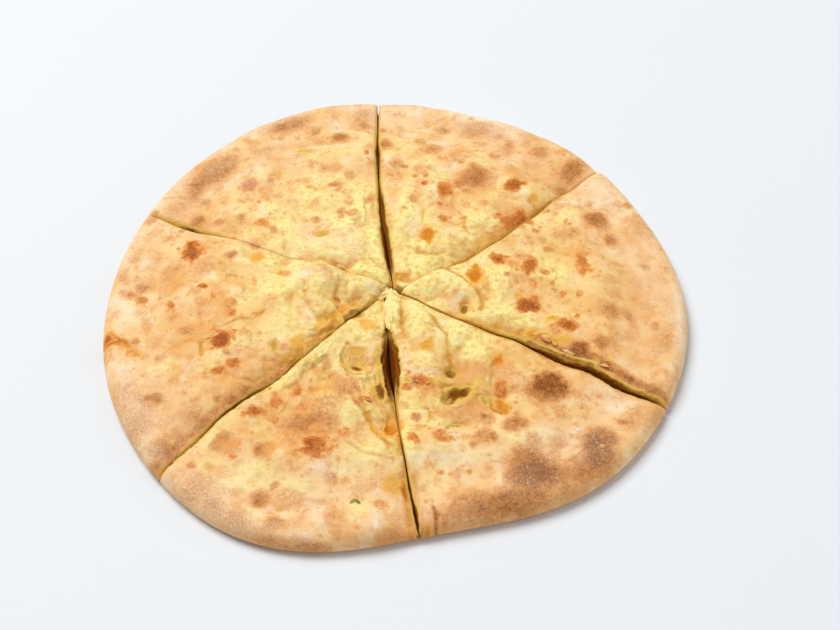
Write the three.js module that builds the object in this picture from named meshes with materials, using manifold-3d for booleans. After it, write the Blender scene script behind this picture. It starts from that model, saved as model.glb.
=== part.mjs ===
// Imeruli khachapuri: a flat round cheese bread, cut with a knife into six slices that still lie together.
// Each slice is a pouch of dough, closed round its rim, with a layer of cheese that shows at its two cuts
// and at its tip. Millimetres, +Z up. The bread lies flat on z = 0, and the origin is the middle of its
// footprint. Plan positions below are measured from the crossing of the cuts, +X right and +Y back.

import * as THREE from "three";
import Module from "manifold-3d";

// ---- Driving dimensions ----

const BREAD_RADIUS = 149; // mean radius; the outline waves are added to it
const FILLED_HEIGHT = 15.5; // bread over the cheese
const RIM_HEIGHT = 11; // plain dough outside the cheese
const DOME = { rise: 1.4, share: 0.32, spread: 0.24 }; // fuller ring, placed in shares of the radius
const CROWN = { rise: 0.8, share: 0.92, spread: 0.04 }; // low ridge along the rim
const FILLED_SHARE = 0.68; // the filled height ends at this share of the radius
const RIM_SHARE = 0.86; // and has come down to the rim's at this one
const EDGE_ROUND = 8; // how far in the rim's rounding reaches above its widest line
const EDGE_MIDDLE = 4; // height of the rim's widest line
const EDGE_UNDERCUT = 5; // how far in the underside's rounding reaches
const LEAST_HEIGHT = 7.5; // the top is nowhere lower than this inside the rounding

const BASE_DOUGH = 3.2; // dough under the cheese
const LID_DOUGH = 3.8; // dough over the cheese
const CHEESE_SHARE = 0.79; // the cheese ends at this share of the radius
const CHEESE_TAPER = 5; // power of the curve by which it thins out towards that end
const CHEESE_END = 1.2; // its thickness there
const CLEARANCE = 0.3; // gap between cheese and dough
const KNIFE_PASS = 4; // the pocket is cut this far past each cut face, so that it opens there

// ---- How finely the solids are drawn ----

const TOP_ROWS = 25;
const BASE_ROWS = 7;
const CHEESE_ROWS = 17;
const CHEESE_BASE_ROWS = 6;
const TIP_POINTS = 2; // points across the blunt tip; each row outwards has one more
const EDGE_ANGLES = [38, 68, 90]; // degrees round the rim's upper curve
const UNDER_ANGLE = 45; // and on its lower one
const CUT_CROWDING = 0.55; // 0 spaces a row evenly, 1 crowds its points fully towards the cuts

// ---- The outline: waves round the bread, each with its count, height and a peak's heading in degrees ----

const OUTLINE_WAVES = [
  { lobes: 1, height: 1.9, peak: 180 },
  { lobes: 2, height: 1.4, peak: 32 },
  { lobes: 3, height: 3.9, peak: 108 },
  { lobes: 4, height: 1.8, peak: 54 },
  { lobes: 5, height: 1.2, peak: 32 },
  { lobes: 6, height: 0.9, peak: 3 },
  { lobes: 7, height: 0.8, peak: 48 },
];

// ---- Curd lumps under the dough: crossed waves, each shorter and lower than the last ----

const LUMP_WAVES = 6;
const LUMP_PITCH = 46; // wavelength of the first
const LUMP_HEIGHT = 0.62; // height of the first
const LUMP_SHRINK = 0.84; // from each to the next
const LUMP_TURN = 137.5; // degrees from each wave's heading to the next
const LUMP_AT_RIM = 0.4; // share of the lumps that is left in the plain rim

// ---- The cuts. heading is in degrees. Sideways, with + to the left of the heading, start is the offset at
// the crossing, and bends are the heights of waves with one, two and three half-lengths along the cut. The
// gap is a width and how much more it opens round one place ----

const CUTS = {
  right: {
    heading: -26.6,
    start: -0.5,
    bends: [-0.6, 0, 0],
    gap: { width: 1.8, more: 1.4, at: 115, spread: 40 },
  },
  backRight: {
    heading: 39.8,
    start: -1.5,
    bends: [-4.8, -1.1, 0.8],
    gap: { width: 0.9, more: 0.6, at: 125, spread: 20 },
  },
  back: {
    heading: 94.2,
    start: 0,
    bends: [3.4, 0, 0],
    gap: { width: 1, more: 2.2, at: 30, spread: 26 },
  },
  backLeft: {
    heading: 156,
    start: -2,
    bends: [2.2, 0, 0],
    gap: { width: 0.8, more: 0.5, at: 115, spread: 20 },
  },
  frontLeft: {
    heading: 224.5,
    start: -3,
    bends: [-0.5, 1.2, -0.9],
    gap: { width: 1, more: 0.6, at: 80, spread: 40 },
  },
  front: {
    heading: 275.2,
    start: -5,
    bends: [-2.6, 0, 0],
    gap: { width: 1.4, more: 4.6, at: 40, spread: 13 },
  },
};

// ---- The slices, anticlockwise from the right. tip is how far out the blunt tip starts, lift how much
// higher the slice stands than the mean, and each roll how deep and how wide its top sinks to that cut.
// Swells are pillows (rise above 0) and dents (below 0) that fade out over their reach ----

const SLICES = [
  {
    name: "right",
    from: "right",
    to: "backRight",
    tip: 4,
    lift: 1,
    fromRoll: { depth: 4, width: 5.5 },
    toRoll: { depth: 0.8, width: 3 },
    swells: [
      { x: 22, y: 8, reach: 13, rise: 3.2 },
      { x: 46, y: -15, reach: 9, rise: 1.6 },
      { x: 35, y: -10, reach: 6, rise: -3 },
      { x: 41, y: 11, reach: 6, rise: -1.6 },
      { x: 68, y: -9, reach: 8, rise: 0.9 },
      { x: 106, y: 53, reach: 9, rise: 0.8 },
    ],
  },
  {
    name: "back_right",
    from: "backRight",
    to: "back",
    tip: 5,
    lift: -0.2,
    fromRoll: { depth: 3.6, width: 8 },
    toRoll: { depth: 0.8, width: 3 },
    swells: [
      { x: 14, y: 24, reach: 10, rise: 1.2 },
      { x: 6, y: 52, reach: 13, rise: 0.9 },
      { x: 16, y: 37, reach: 6, rise: -1.2 },
      { x: 41, y: 85, reach: 10, rise: 0.9 },
      { x: 63, y: 76, reach: 6, rise: -1 },
    ],
  },
  {
    name: "back_left",
    from: "back",
    to: "backLeft",
    tip: 6,
    lift: 0.3,
    fromRoll: { depth: 2, width: 4 },
    toRoll: { depth: 1.6, width: 4 },
    swells: [
      { x: -13, y: 14, reach: 9, rise: 2.2 },
      { x: -30, y: 35, reach: 14, rise: 1 },
      { x: -27, y: 14, reach: 6, rise: -2.6 },
      { x: -40, y: 39, reach: 6, rise: -1.3 },
      { x: -60, y: 63, reach: 12, rise: 0.8 },
    ],
  },
  {
    name: "left",
    from: "backLeft",
    to: "frontLeft",
    tip: 5,
    lift: 0.8,
    fromRoll: { depth: 0.6, width: 3 },
    toRoll: { depth: 4.6, width: 8 },
    swells: [
      { x: -34, y: 9, reach: 13, rise: 3.2 },
      { x: -15, y: 3, reach: 8, rise: 1.8 },
      { x: -54, y: -11, reach: 14, rise: 1.4 },
      { x: -26, y: -9, reach: 6, rise: -1.8 },
      { x: -59, y: -33, reach: 6, rise: -1.1 },
      { x: -87, y: -33, reach: 8, rise: 0.8 },
    ],
  },
  {
    name: "front_left",
    from: "frontLeft",
    to: "front",
    tip: 6,
    lift: 0,
    fromRoll: { depth: 0.6, width: 3 },
    toRoll: { depth: 4.2, width: 9 },
    swells: [
      { x: -20, y: -24, reach: 10, rise: 1.1 },
      { x: -45, y: -50, reach: 9, rise: 1.5 },
      { x: -30, y: -72, reach: 10, rise: 1.3 },
      { x: -17, y: -44, reach: 7, rise: -2.6 },
      { x: -11, y: -61, reach: 6, rise: -2 },
      { x: -2, y: -83, reach: 6, rise: -1.5 },
      { x: -30, y: -58, reach: 6, rise: -1.2 },
      { x: -8, y: -138, reach: 7, rise: 0.9 },
    ],
  },
  {
    name: "front_right",
    from: "front",
    to: "right",
    tip: 1.5,
    lift: -0.4,
    fromRoll: { depth: 0.8, width: 3 },
    toRoll: { depth: 1.2, width: 4 },
    swells: [
      { x: 8, y: -15, reach: 10, rise: 2.6 },
      { x: 20, y: -33, reach: 13, rise: 1.3 },
      { x: 47, y: -45, reach: 13, rise: 0.9 },
      { x: 28, y: -51, reach: 6, rise: -2.2 },
      { x: 28, y: -67, reach: 7, rise: -2.4 },
      { x: 51, y: -47, reach: 6, rise: -1.4 },
      { x: 75, y: -60, reach: 11, rise: 1 },
      { x: 66, y: -107, reach: 13, rise: 1 },
    ],
  },
];

// ---- Shape of the bread ----

const radians = (degrees) => (degrees * Math.PI) / 180;
const mix = (a, b, share) => a + (b - a) * share;
const bell = (distance, reach) => Math.exp(-((distance / reach) ** 2));

// Radius of the bread at a heading in degrees.
function outlineRadius(heading) {
  const wave = ({ lobes, height, peak }) => height * Math.cos(lobes * radians(heading - peak));
  return BREAD_RADIUS + OUTLINE_WAVES.reduce((sum, each) => sum + wave(each), 0);
}

// The point of the outline at a heading in degrees.
function outlinePoint(heading) {
  const radius = outlineRadius(heading);
  const turn = radians(heading);
  return new THREE.Vector2(radius * Math.cos(turn), radius * Math.sin(turn));
}

// The point at a distance along a cut, on the face to its left (side 1) or right (side -1). extra moves it
// further from the gap, and below 0 across it.
function cutPoint(cut, distance, side, extra) {
  const share = distance / outlineRadius(cut.heading);
  const turn = radians(cut.heading);
  const along = new THREE.Vector2(Math.cos(turn), Math.sin(turn));
  const left = new THREE.Vector2(-along.y, along.x);
  const wave = (sum, height, k) => sum + height * Math.sin((k + 1) * Math.PI * share);
  const wander = cut.bends.reduce(wave, cut.start * (1 - share));
  const gap = cut.gap.width + cut.gap.more * bell(distance - cut.gap.at, cut.gap.spread);
  return along.multiplyScalar(distance).addScaledVector(left, wander + side * (gap / 2 + extra));
}

// A point of a slice's plan, and how wide the slice is there. across runs from 0 at its first cut to 1 at
// its second, and out from 0 at the tip to 1 at the rim: each row across is the rim's curve, drawn smaller.
function planPoint(slice, across, out, extra = 0) {
  const first = CUTS[slice.from];
  const second = CUTS[slice.to];
  const heading = second.heading + (second.heading < first.heading ? 360 : 0);
  const reach = (cut) => mix(slice.tip, outlineRadius(cut.heading), out);
  const start = cutPoint(first, reach(first), 1, extra);
  const end = cutPoint(second, reach(second), -1, extra);
  const arc = outlinePoint(mix(first.heading, heading, across));
  const chord = outlinePoint(first.heading).lerp(outlinePoint(heading), across);
  const width = start.distanceTo(end);
  return { point: start.lerp(end, across).addScaledVector(arc.sub(chord), out), width };
}

// Height of the curd lumps at a plan point.
function lumps(point) {
  let sum = 0;
  for (let k = 0; k < LUMP_WAVES; k += 1) {
    const turn = radians(k * LUMP_TURN);
    const shrink = LUMP_SHRINK ** k;
    const along = point.x * Math.cos(turn) + point.y * Math.sin(turn);
    sum += LUMP_HEIGHT * shrink * Math.sin((2 * Math.PI * along) / (LUMP_PITCH * shrink) + k);
  }
  return sum;
}

// Height of a slice's top.
function topHeight(slice, across, out) {
  const { point, width } = planPoint(slice, across, out);
  const filled = 1 - THREE.MathUtils.smoothstep(out, FILLED_SHARE, RIM_SHARE);
  const swell = ({ x, y, reach, rise }) => rise * bell(Math.hypot(point.x - x, point.y - y), reach);
  const sink = (roll, distance) => roll.depth * bell(distance, roll.width);
  const height =
    mix(RIM_HEIGHT, FILLED_HEIGHT, filled) +
    slice.lift +
    DOME.rise * bell(out - DOME.share, DOME.spread) +
    CROWN.rise * bell(out - CROWN.share, CROWN.spread) +
    lumps(point) * mix(LUMP_AT_RIM, 1, filled) +
    slice.swells.reduce((sum, each) => sum + swell(each), 0) -
    Math.max(sink(slice.fromRoll, across * width), sink(slice.toRoll, (1 - across) * width));
  return Math.max(height, LEAST_HEIGHT);
}

// Height of the top of a slice's cheese.
function cheeseHeight(slice, across, out) {
  const full = topHeight(slice, across, out) - LID_DOUGH - BASE_DOUGH;
  const taper = Math.sqrt(1 - Math.min(out / CHEESE_SHARE, 1) ** CHEESE_TAPER);
  return BASE_DOUGH + mix(CHEESE_END, full, taper);
}

// ---- Skins: closed surfaces, laid row by row ----

class Skin {
  constructor(slice) {
    this.slice = slice;
    this.points = [];
    this.triangles = [];
  }

  // Lays one row across the slice, its points crowded towards the cuts, and returns their numbers. pass
  // above 0 adds a point that far past each cut face.
  layRow(count, out, pass, heightAt) {
    const lay = (across, extra) => {
      const { point } = planPoint(this.slice, across, out, extra);
      return this.points.push(new THREE.Vector3(point.x, point.y, heightAt(across, out))) - 1;
    };
    const row = [];
    for (let j = 0; j < count; j += 1) {
      const even = j / (count - 1);
      row.push(lay(even - (CUT_CROWDING * Math.sin(2 * Math.PI * even)) / (2 * Math.PI), 0));
    }
    return pass > 0 ? [lay(0, -pass), ...row, lay(1, -pass)] : row;
  }

  // Lays rows from the tip outwards, each with one point more than the last. pass above 0 adds a row that
  // far before the tip.
  layRows(rows, reach, pass, heightAt) {
    const laid = pass > 0 ? [this.layRow(TIP_POINTS, -pass / BREAD_RADIUS, pass, heightAt)] : [];
    for (let i = 0; i <= rows; i += 1) {
      laid.push(this.layRow(i + TIP_POINTS, (reach * i) / rows, pass, heightAt));
    }
    return laid;
  }

  // Fills the strip between two rows, always with the shorter of the next two edges across it.
  zip(left, right) {
    const length = (a, b) => this.points[a].distanceTo(this.points[b]);
    let i = 0;
    let j = 0;
    while (i < left.length - 1 || j < right.length - 1) {
      const stepLeft = i < left.length - 1 ? length(left[i + 1], right[j]) : Infinity;
      const stepRight = j < right.length - 1 ? length(left[i], right[j + 1]) : Infinity;
      if (stepLeft <= stepRight) {
        this.triangles.push(left[i], right[j], left[i + 1]);
        i += 1;
      } else {
        this.triangles.push(left[i], right[j], right[j + 1]);
        j += 1;
      }
    }
  }

  // Closes the surface from the rows of its top and its base: the rim, the two cut faces and the tip.
  close(top, base) {
    const starts = (rows) => rows.map((row) => row[0]);
    const ends = (rows) => rows.map((row) => row[row.length - 1]);
    for (let i = 1; i < top.length; i += 1) this.zip(top[i - 1], top[i]);
    for (let i = 1; i < base.length; i += 1) this.zip(base[i], base[i - 1]);
    this.zip(top[top.length - 1], base[base.length - 1]);
    this.zip(starts(top), starts(base));
    this.zip(ends(base), ends(top));
    this.zip(base[0], top[0]);
    return new THREE.BufferGeometry().setFromPoints(this.points).setIndex(this.triangles);
  }
}

// The whole outside of a slice: its top, the rounded rim, the cut faces and the flat underside.
function sliceGeometry(slice) {
  const skin = new Skin(slice);
  const crest = 1 - EDGE_ROUND / BREAD_RADIUS;
  const rimPoints = TOP_ROWS + TIP_POINTS;
  const top = skin.layRows(TOP_ROWS, crest, 0, (across, out) => topHeight(slice, across, out));
  for (const angle of EDGE_ANGLES) {
    const out = 1 - (EDGE_ROUND * (1 - Math.sin(radians(angle)))) / BREAD_RADIUS;
    const share = Math.cos(radians(angle));
    const heightAt = (across) => mix(EDGE_MIDDLE, topHeight(slice, across, crest), share);
    top.push(skin.layRow(rimPoints, out, 0, heightAt));
  }
  const under = 1 - (EDGE_UNDERCUT * (1 - Math.cos(radians(UNDER_ANGLE)))) / BREAD_RADIUS;
  top.push(skin.layRow(rimPoints, under, 0, () => EDGE_MIDDLE * (1 - Math.sin(radians(UNDER_ANGLE)))));
  const base = skin.layRows(BASE_ROWS, 1 - EDGE_UNDERCUT / BREAD_RADIUS, 0, () => 0);
  return skin.close(top, base);
}

// A slice's cheese or, with a gap above 0 round it, the pocket that it lies in, which opens at the cuts.
function cheeseGeometry(slice, gap) {
  const skin = new Skin(slice);
  const reach = CHEESE_SHARE + gap / BREAD_RADIUS;
  const pass = gap > 0 ? KNIFE_PASS : 0;
  const shrink = CHEESE_SHARE / reach;
  const ceiling = (across, out) => cheeseHeight(slice, across, out * shrink) + gap;
  const top = skin.layRows(CHEESE_ROWS, reach, pass, ceiling);
  const base = skin.layRows(CHEESE_BASE_ROWS, reach, pass, () => BASE_DOUGH - gap);
  return skin.close(top, base);
}

// ---- Cutting the pockets ----

const wasm = await Module();
wasm.setup();

function solidOf(geometry) {
  const vertProperties = new Float32Array(geometry.getAttribute("position").array);
  const triVerts = new Uint32Array(geometry.getIndex().array);
  return new wasm.Manifold(new wasm.Mesh({ numProp: 3, vertProperties, triVerts }));
}

function geometryOf(solid) {
  const { vertProperties, triVerts } = solid.getMesh();
  const geometry = new THREE.BufferGeometry();
  geometry.setAttribute("position", new THREE.BufferAttribute(vertProperties, 3));
  return geometry.setIndex(new THREE.BufferAttribute(triVerts, 1));
}

// ---- The bread ----

const doughFinish = new THREE.MeshStandardMaterial({ color: 0xe9bd84, roughness: 0.75, metalness: 0 });
const cheeseFinish = new THREE.MeshStandardMaterial({ color: 0xf3df9f, roughness: 0.45, metalness: 0 });

function namedMesh(geometry, finish, name) {
  const mesh = new THREE.Mesh(geometry, finish);
  mesh.name = name;
  return mesh;
}

const bread = new THREE.Group();
for (const slice of SLICES) {
  const pocket = solidOf(cheeseGeometry(slice, CLEARANCE));
  const dough = solidOf(sliceGeometry(slice)).subtract(pocket);
  bread.add(namedMesh(geometryOf(dough), doughFinish, `dough_${slice.name}`));
  bread.add(namedMesh(cheeseGeometry(slice, 0), cheeseFinish, `cheese_${slice.name}`));
}

// The origin goes to the middle of the footprint.
const middle = new THREE.Box3().setFromObject(bread, true).getCenter(new THREE.Vector3());
bread.position.set(-middle.x, -middle.y, 0);

export default bread;
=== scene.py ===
"""Imeruli khachapuri: a flat round cheese bread, cut with a knife into six slices that lie together.

Each slice is a pouch of baked dough round a layer of melted cheese. Shapes are worked out in millimetres
from the crossing of the cuts, +X right, +Y back and +Z up, and each finished mesh is in metres in the
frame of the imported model.
"""

from __future__ import annotations

import logging
import math
from collections.abc import Callable, Iterable
from dataclasses import dataclass, field
from enum import Enum
from functools import partial

import bpy
import numpy as np
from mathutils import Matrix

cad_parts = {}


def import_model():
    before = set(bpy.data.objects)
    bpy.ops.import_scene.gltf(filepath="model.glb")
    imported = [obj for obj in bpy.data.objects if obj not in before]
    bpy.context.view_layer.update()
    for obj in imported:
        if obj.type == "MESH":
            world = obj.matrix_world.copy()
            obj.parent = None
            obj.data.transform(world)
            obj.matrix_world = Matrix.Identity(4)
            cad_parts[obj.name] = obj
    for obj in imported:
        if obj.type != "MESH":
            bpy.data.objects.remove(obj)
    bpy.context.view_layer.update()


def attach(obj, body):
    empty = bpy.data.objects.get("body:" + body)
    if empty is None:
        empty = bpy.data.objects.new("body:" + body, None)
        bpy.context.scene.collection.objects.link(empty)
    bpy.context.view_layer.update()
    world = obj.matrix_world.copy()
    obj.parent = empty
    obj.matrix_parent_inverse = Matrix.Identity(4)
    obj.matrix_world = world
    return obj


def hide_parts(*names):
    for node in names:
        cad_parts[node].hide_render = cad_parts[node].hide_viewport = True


LOG = logging.getLogger("khachapuri")
MM = 0.001
FRAME_SHIFT = (-0.9387, -1.1177)  # from the crossing of the cuts to the middle of the footprint, mm
STRAND_SLIMMING = 0.75  # the share of a strand's width that shows through the dough

Array = np.ndarray
Colour = tuple[float, float, float, float]
Points = tuple[tuple[float, float], ...]
Span = tuple[float, float]  # where something starts and where it is full, or the least and the most
Step = tuple[float, float, float, float]  # where a pattern starts and is full, and how much shows at each
Socket = bpy.types.NodeSocket


# ---------------------------------------------------------------- numbers


def mix(low: Array, high: Array, share: Array) -> Array:
    """The value at a share of the way from low to high."""
    return low + (high - low) * share


def bell(distance: Array, reach: float) -> Array:
    """A smooth bump that is 1 at no distance and fades out over its reach."""
    return np.exp(-np.square(distance / reach))


def smoothstep(value: Array, low: float, high: float) -> Array:
    """A smooth step from 0 at low to 1 at high."""
    share = np.clip((value - low) / (high - low), 0.0, 1.0)
    return share * share * (3.0 - 2.0 * share)


def turned(ahead: Array, aside: Array, degrees: Array) -> tuple[Array, Array]:
    """A step ahead and to the left of a heading, as a step across and back."""
    turn = np.radians(degrees)
    return ahead * np.cos(turn) - aside * np.sin(turn), ahead * np.sin(turn) + aside * np.cos(turn)


def oval(across: Array, back: Array, length: float, width: float, degrees: float) -> Array:
    """How far steps from its middle reach in a turned oval of given half sizes, 1 at its edge."""
    along, aside = turned(across, back, -degrees)
    return np.hypot(along / length, aside / width)


def tone(red: float, green: float, blue: float) -> Colour:
    """A screen colour from 0 to 255 as the linear colour that a shader takes.

    Args:
        red: Red on the screen.
        green: Green on the screen.
        blue: Blue on the screen.

    Returns:
        The linear colour with full alpha.
    """
    parts = [part / 255 for part in (red, green, blue)]
    linear = [p / 12.92 if p <= 0.04045 else ((p + 0.055) / 1.055) ** 2.4 for p in parts]
    return (*linear, 1.0)


@dataclass(frozen=True)
class Grain:
    """Smooth random values over a plane: a seeded lattice, blended between its points."""

    seed: int
    pitch: float
    cells: int = 128

    def at(self, x: Array, y: Array) -> Array:
        """The values at some points.

        Args:
            x: Places along the first direction, mm.
            y: Places along the second direction, mm.

        Returns:
            Values from -1 to 1.
        """
        lattice = np.random.default_rng(self.seed).uniform(-1, 1, (self.cells, self.cells))
        column, row = np.floor(x / self.pitch), np.floor(y / self.pitch)
        across, along = x / self.pitch - column, y / self.pitch - row
        across, along = smoothstep(across, 0, 1), smoothstep(along, 0, 1)
        i, j = column.astype(int) % self.cells, row.astype(int) % self.cells
        near, far = (i + 1) % self.cells, (j + 1) % self.cells
        first = mix(lattice[i, j], lattice[near, j], across)
        second = mix(lattice[i, far], lattice[near, far], across)
        return mix(first, second, along)


# ---------------------------------------------------------------- the bread's form


@dataclass(frozen=True)
class OutlineWave:
    """One wave round the outline: its count, its height in mm and a peak's heading in degrees."""

    lobes: int
    height: float
    peak: float


@dataclass(frozen=True)
class BreadForm:
    """The sizes that all six slices share, in millimetres."""

    radius: float = 149.0
    filled_height: float = 15.5
    rim_height: float = 11.0
    dome_rise: float = 1.4
    dome_share: float = 0.32
    dome_spread: float = 0.24
    crown_rise: float = 0.8
    crown_share: float = 0.92
    crown_spread: float = 0.04
    filled_share: float = 0.68
    rim_share: float = 0.86
    edge_round: float = 8.0
    edge_middle: float = 4.0
    edge_undercut: float = 5.0
    least_height: float = 7.5
    base_dough: float = 3.2
    lid_dough: float = 3.8
    cheese_share: float = 0.79
    cheese_taper: float = 5.0
    cheese_end: float = 1.2
    clearance: float = 0.3
    lump_waves: int = 6
    lump_pitch: float = 46.0
    lump_height: float = 0.62
    lump_shrink: float = 0.84
    lump_turn: float = 137.5
    lump_at_rim: float = 0.4
    waves: tuple[OutlineWave, ...] = (
        OutlineWave(1, 1.9, 180),
        OutlineWave(2, 1.4, 32),
        OutlineWave(3, 3.9, 108),
        OutlineWave(4, 1.8, 54),
        OutlineWave(5, 1.2, 32),
        OutlineWave(6, 0.9, 3),
        OutlineWave(7, 0.8, 48),
    )

    def outline_radius(self, heading: Array) -> Array:
        """Radius of the bread at headings in degrees."""
        turns = [w.height * np.cos(np.radians(w.lobes * (heading - w.peak))) for w in self.waves]
        return self.radius + sum(turns)

    def outline_point(self, heading: Array) -> tuple[Array, Array]:
        """Points of the outline at headings in degrees."""
        radius, turn = self.outline_radius(heading), np.radians(heading)
        return radius * np.cos(turn), radius * np.sin(turn)

    def lumps(self, x: Array, y: Array) -> Array:
        """Height of the curd lumps under the dough at plan points.

        Args:
            x: Plan places across, mm.
            y: Plan places back, mm.

        Returns:
            The height, mm, below 0 in the hollows between them.
        """
        total = np.zeros_like(x)
        for k in range(self.lump_waves):
            shrink = self.lump_shrink**k
            along, _ = turned(x, y, -k * self.lump_turn)
            total += self.lump_height * shrink * np.sin(math.tau * along / (self.lump_pitch * shrink) + k)
        return total


@dataclass(frozen=True)
class Cut:
    """A knife cut from the middle to the rim, with its wander, the gap that it leaves and the painted shade down its
    faces and along its lips.
    """

    heading: float
    start: float
    bends: tuple[float, float, float]
    gap_width: float
    gap_more: float
    gap_at: float
    gap_spread: float
    ragged: float = 0.4
    # the depth where painted shade starts down the faces, and how strong the painted shade line along the lips is from
    # 20 to 140 mm out
    dark_from: float = 2.5
    cut_shade: tuple[float, ...] = (0.5,)
    cut_shade_starts: Span = (5.0, 18.0)
    cut_shade_span: Span = (20.0, 140.0)
    left_open: float = 0.02
    shuts_from: float = 0.3
    shuts_over: float = 1.6
    shuts_slower: float = 1.4

    def cut_shade_at(self, distance: Array) -> Array:
        """How strong the painted shade along the crust's lip is at a distance out, from 0 to 1."""
        places = np.linspace(*self.cut_shade_span, len(self.cut_shade))
        return smoothstep(distance, *self.cut_shade_starts) * np.interp(distance, places, self.cut_shade)

    def gap(self, distance: Array) -> Array:
        """How wide the gap is at a distance out, mm."""
        return self.gap_width + self.gap_more * bell(distance - self.gap_at, self.gap_spread)

    def shut(self, distance: Array, depth: Array) -> Array:
        """How far each face leans into the gap at a depth below its lip, mm below 0.

        Args:
            distance: How far out along the cut, mm.
            depth: How far below the lip, mm.

        Returns:
            The lean. The knife opens the top, and the slices still touch lower down.
        """
        gap = self.gap(distance)
        shut_by = self.shuts_over + self.shuts_slower * gap
        return -(gap / 2 - self.left_open) * smoothstep(depth, self.shuts_from, shut_by)

    def point(self, form: BreadForm, distance: Array, side: int, extra: Array) -> tuple[Array, Array]:
        """Points on one of the cut's two faces.

        Args:
            form: The bread's sizes.
            distance: How far out along the cut, mm.
            side: 1 for the face to the left of the heading and -1 for the one to the right.
            extra: How much further from the gap, mm.

        Returns:
            The plan points.
        """
        share = distance / form.outline_radius(self.heading)
        wander = self.start * (1 - share)
        for k, bend in enumerate(self.bends):
            wander = wander + bend * np.sin((k + 1) * math.pi * share)
        return turned(distance, wander + side * (self.gap(distance) / 2 + extra), self.heading)


@dataclass(frozen=True)
class Roll:
    """How deep and how wide a slice's top rolls down to a cut."""

    depth: float
    width: float


@dataclass(frozen=True)
class Swell:
    """A pillow, or a dent where rise is below 0, that fades out over its reach."""

    x: float
    y: float
    reach: float
    rise: float


# The last numbers of each cut are its painted shade line along the lips, from 20 to 140 mm out, and the number before
# them is the depth where painted shade starts down its faces.
CUTS = {
    "right": Cut(
        -26.6, -0.5, (-0.6, 0.0, 0.0), 0.3, 1.2, 114, 30, 1.4, 1.0, (0.0, 0.2, 0.6, 0.95, 0.95, 0.95, 0.8)
    ),
    "back_right": Cut(
        39.8, -1.5, (-4.8, -1.1, 0.8), 0.9, 0.8, 60, 30, 0.6, 0.5, (0.0, 0.5, 0.85, 0.85, 0.5, 0.8, 0.4)
    ),
    "back": Cut(94.2, 0.0, (3.4, 0.0, 0.0), 1.0, 2.2, 28, 24, 0.8, 0.5, (0.7, 0.9, 0.95, 0.7, 0.95, 0.6, 0.1)),
    "back_left": Cut(156.0, -2.0, (2.2, 0.0, 0.0), 0.3, 1.5, 122, 20, 0.2, 0.0, (0.4, 0.3, 0.0, 0.1, 0.3, 0.95, 0.2)),
    "front_left": Cut(
        224.5, -3.0, (-0.5, 1.2, -0.9), 1.3, 0.8, 95, 36, 0.9, 0.0, (0.7, 0.8, 0.9, 0.85, 0.95, 0.75, 0.6)
    ),
    "front": Cut(
        275.2, -5.0, (-2.6, 0.0, 0.0), 0.2, 6.0, 45, 18, 2.2, 1.2, (0.3, 1.0, 1.0, 0.2, 0.0, 0.7, 1.0)
    ),
}


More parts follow.
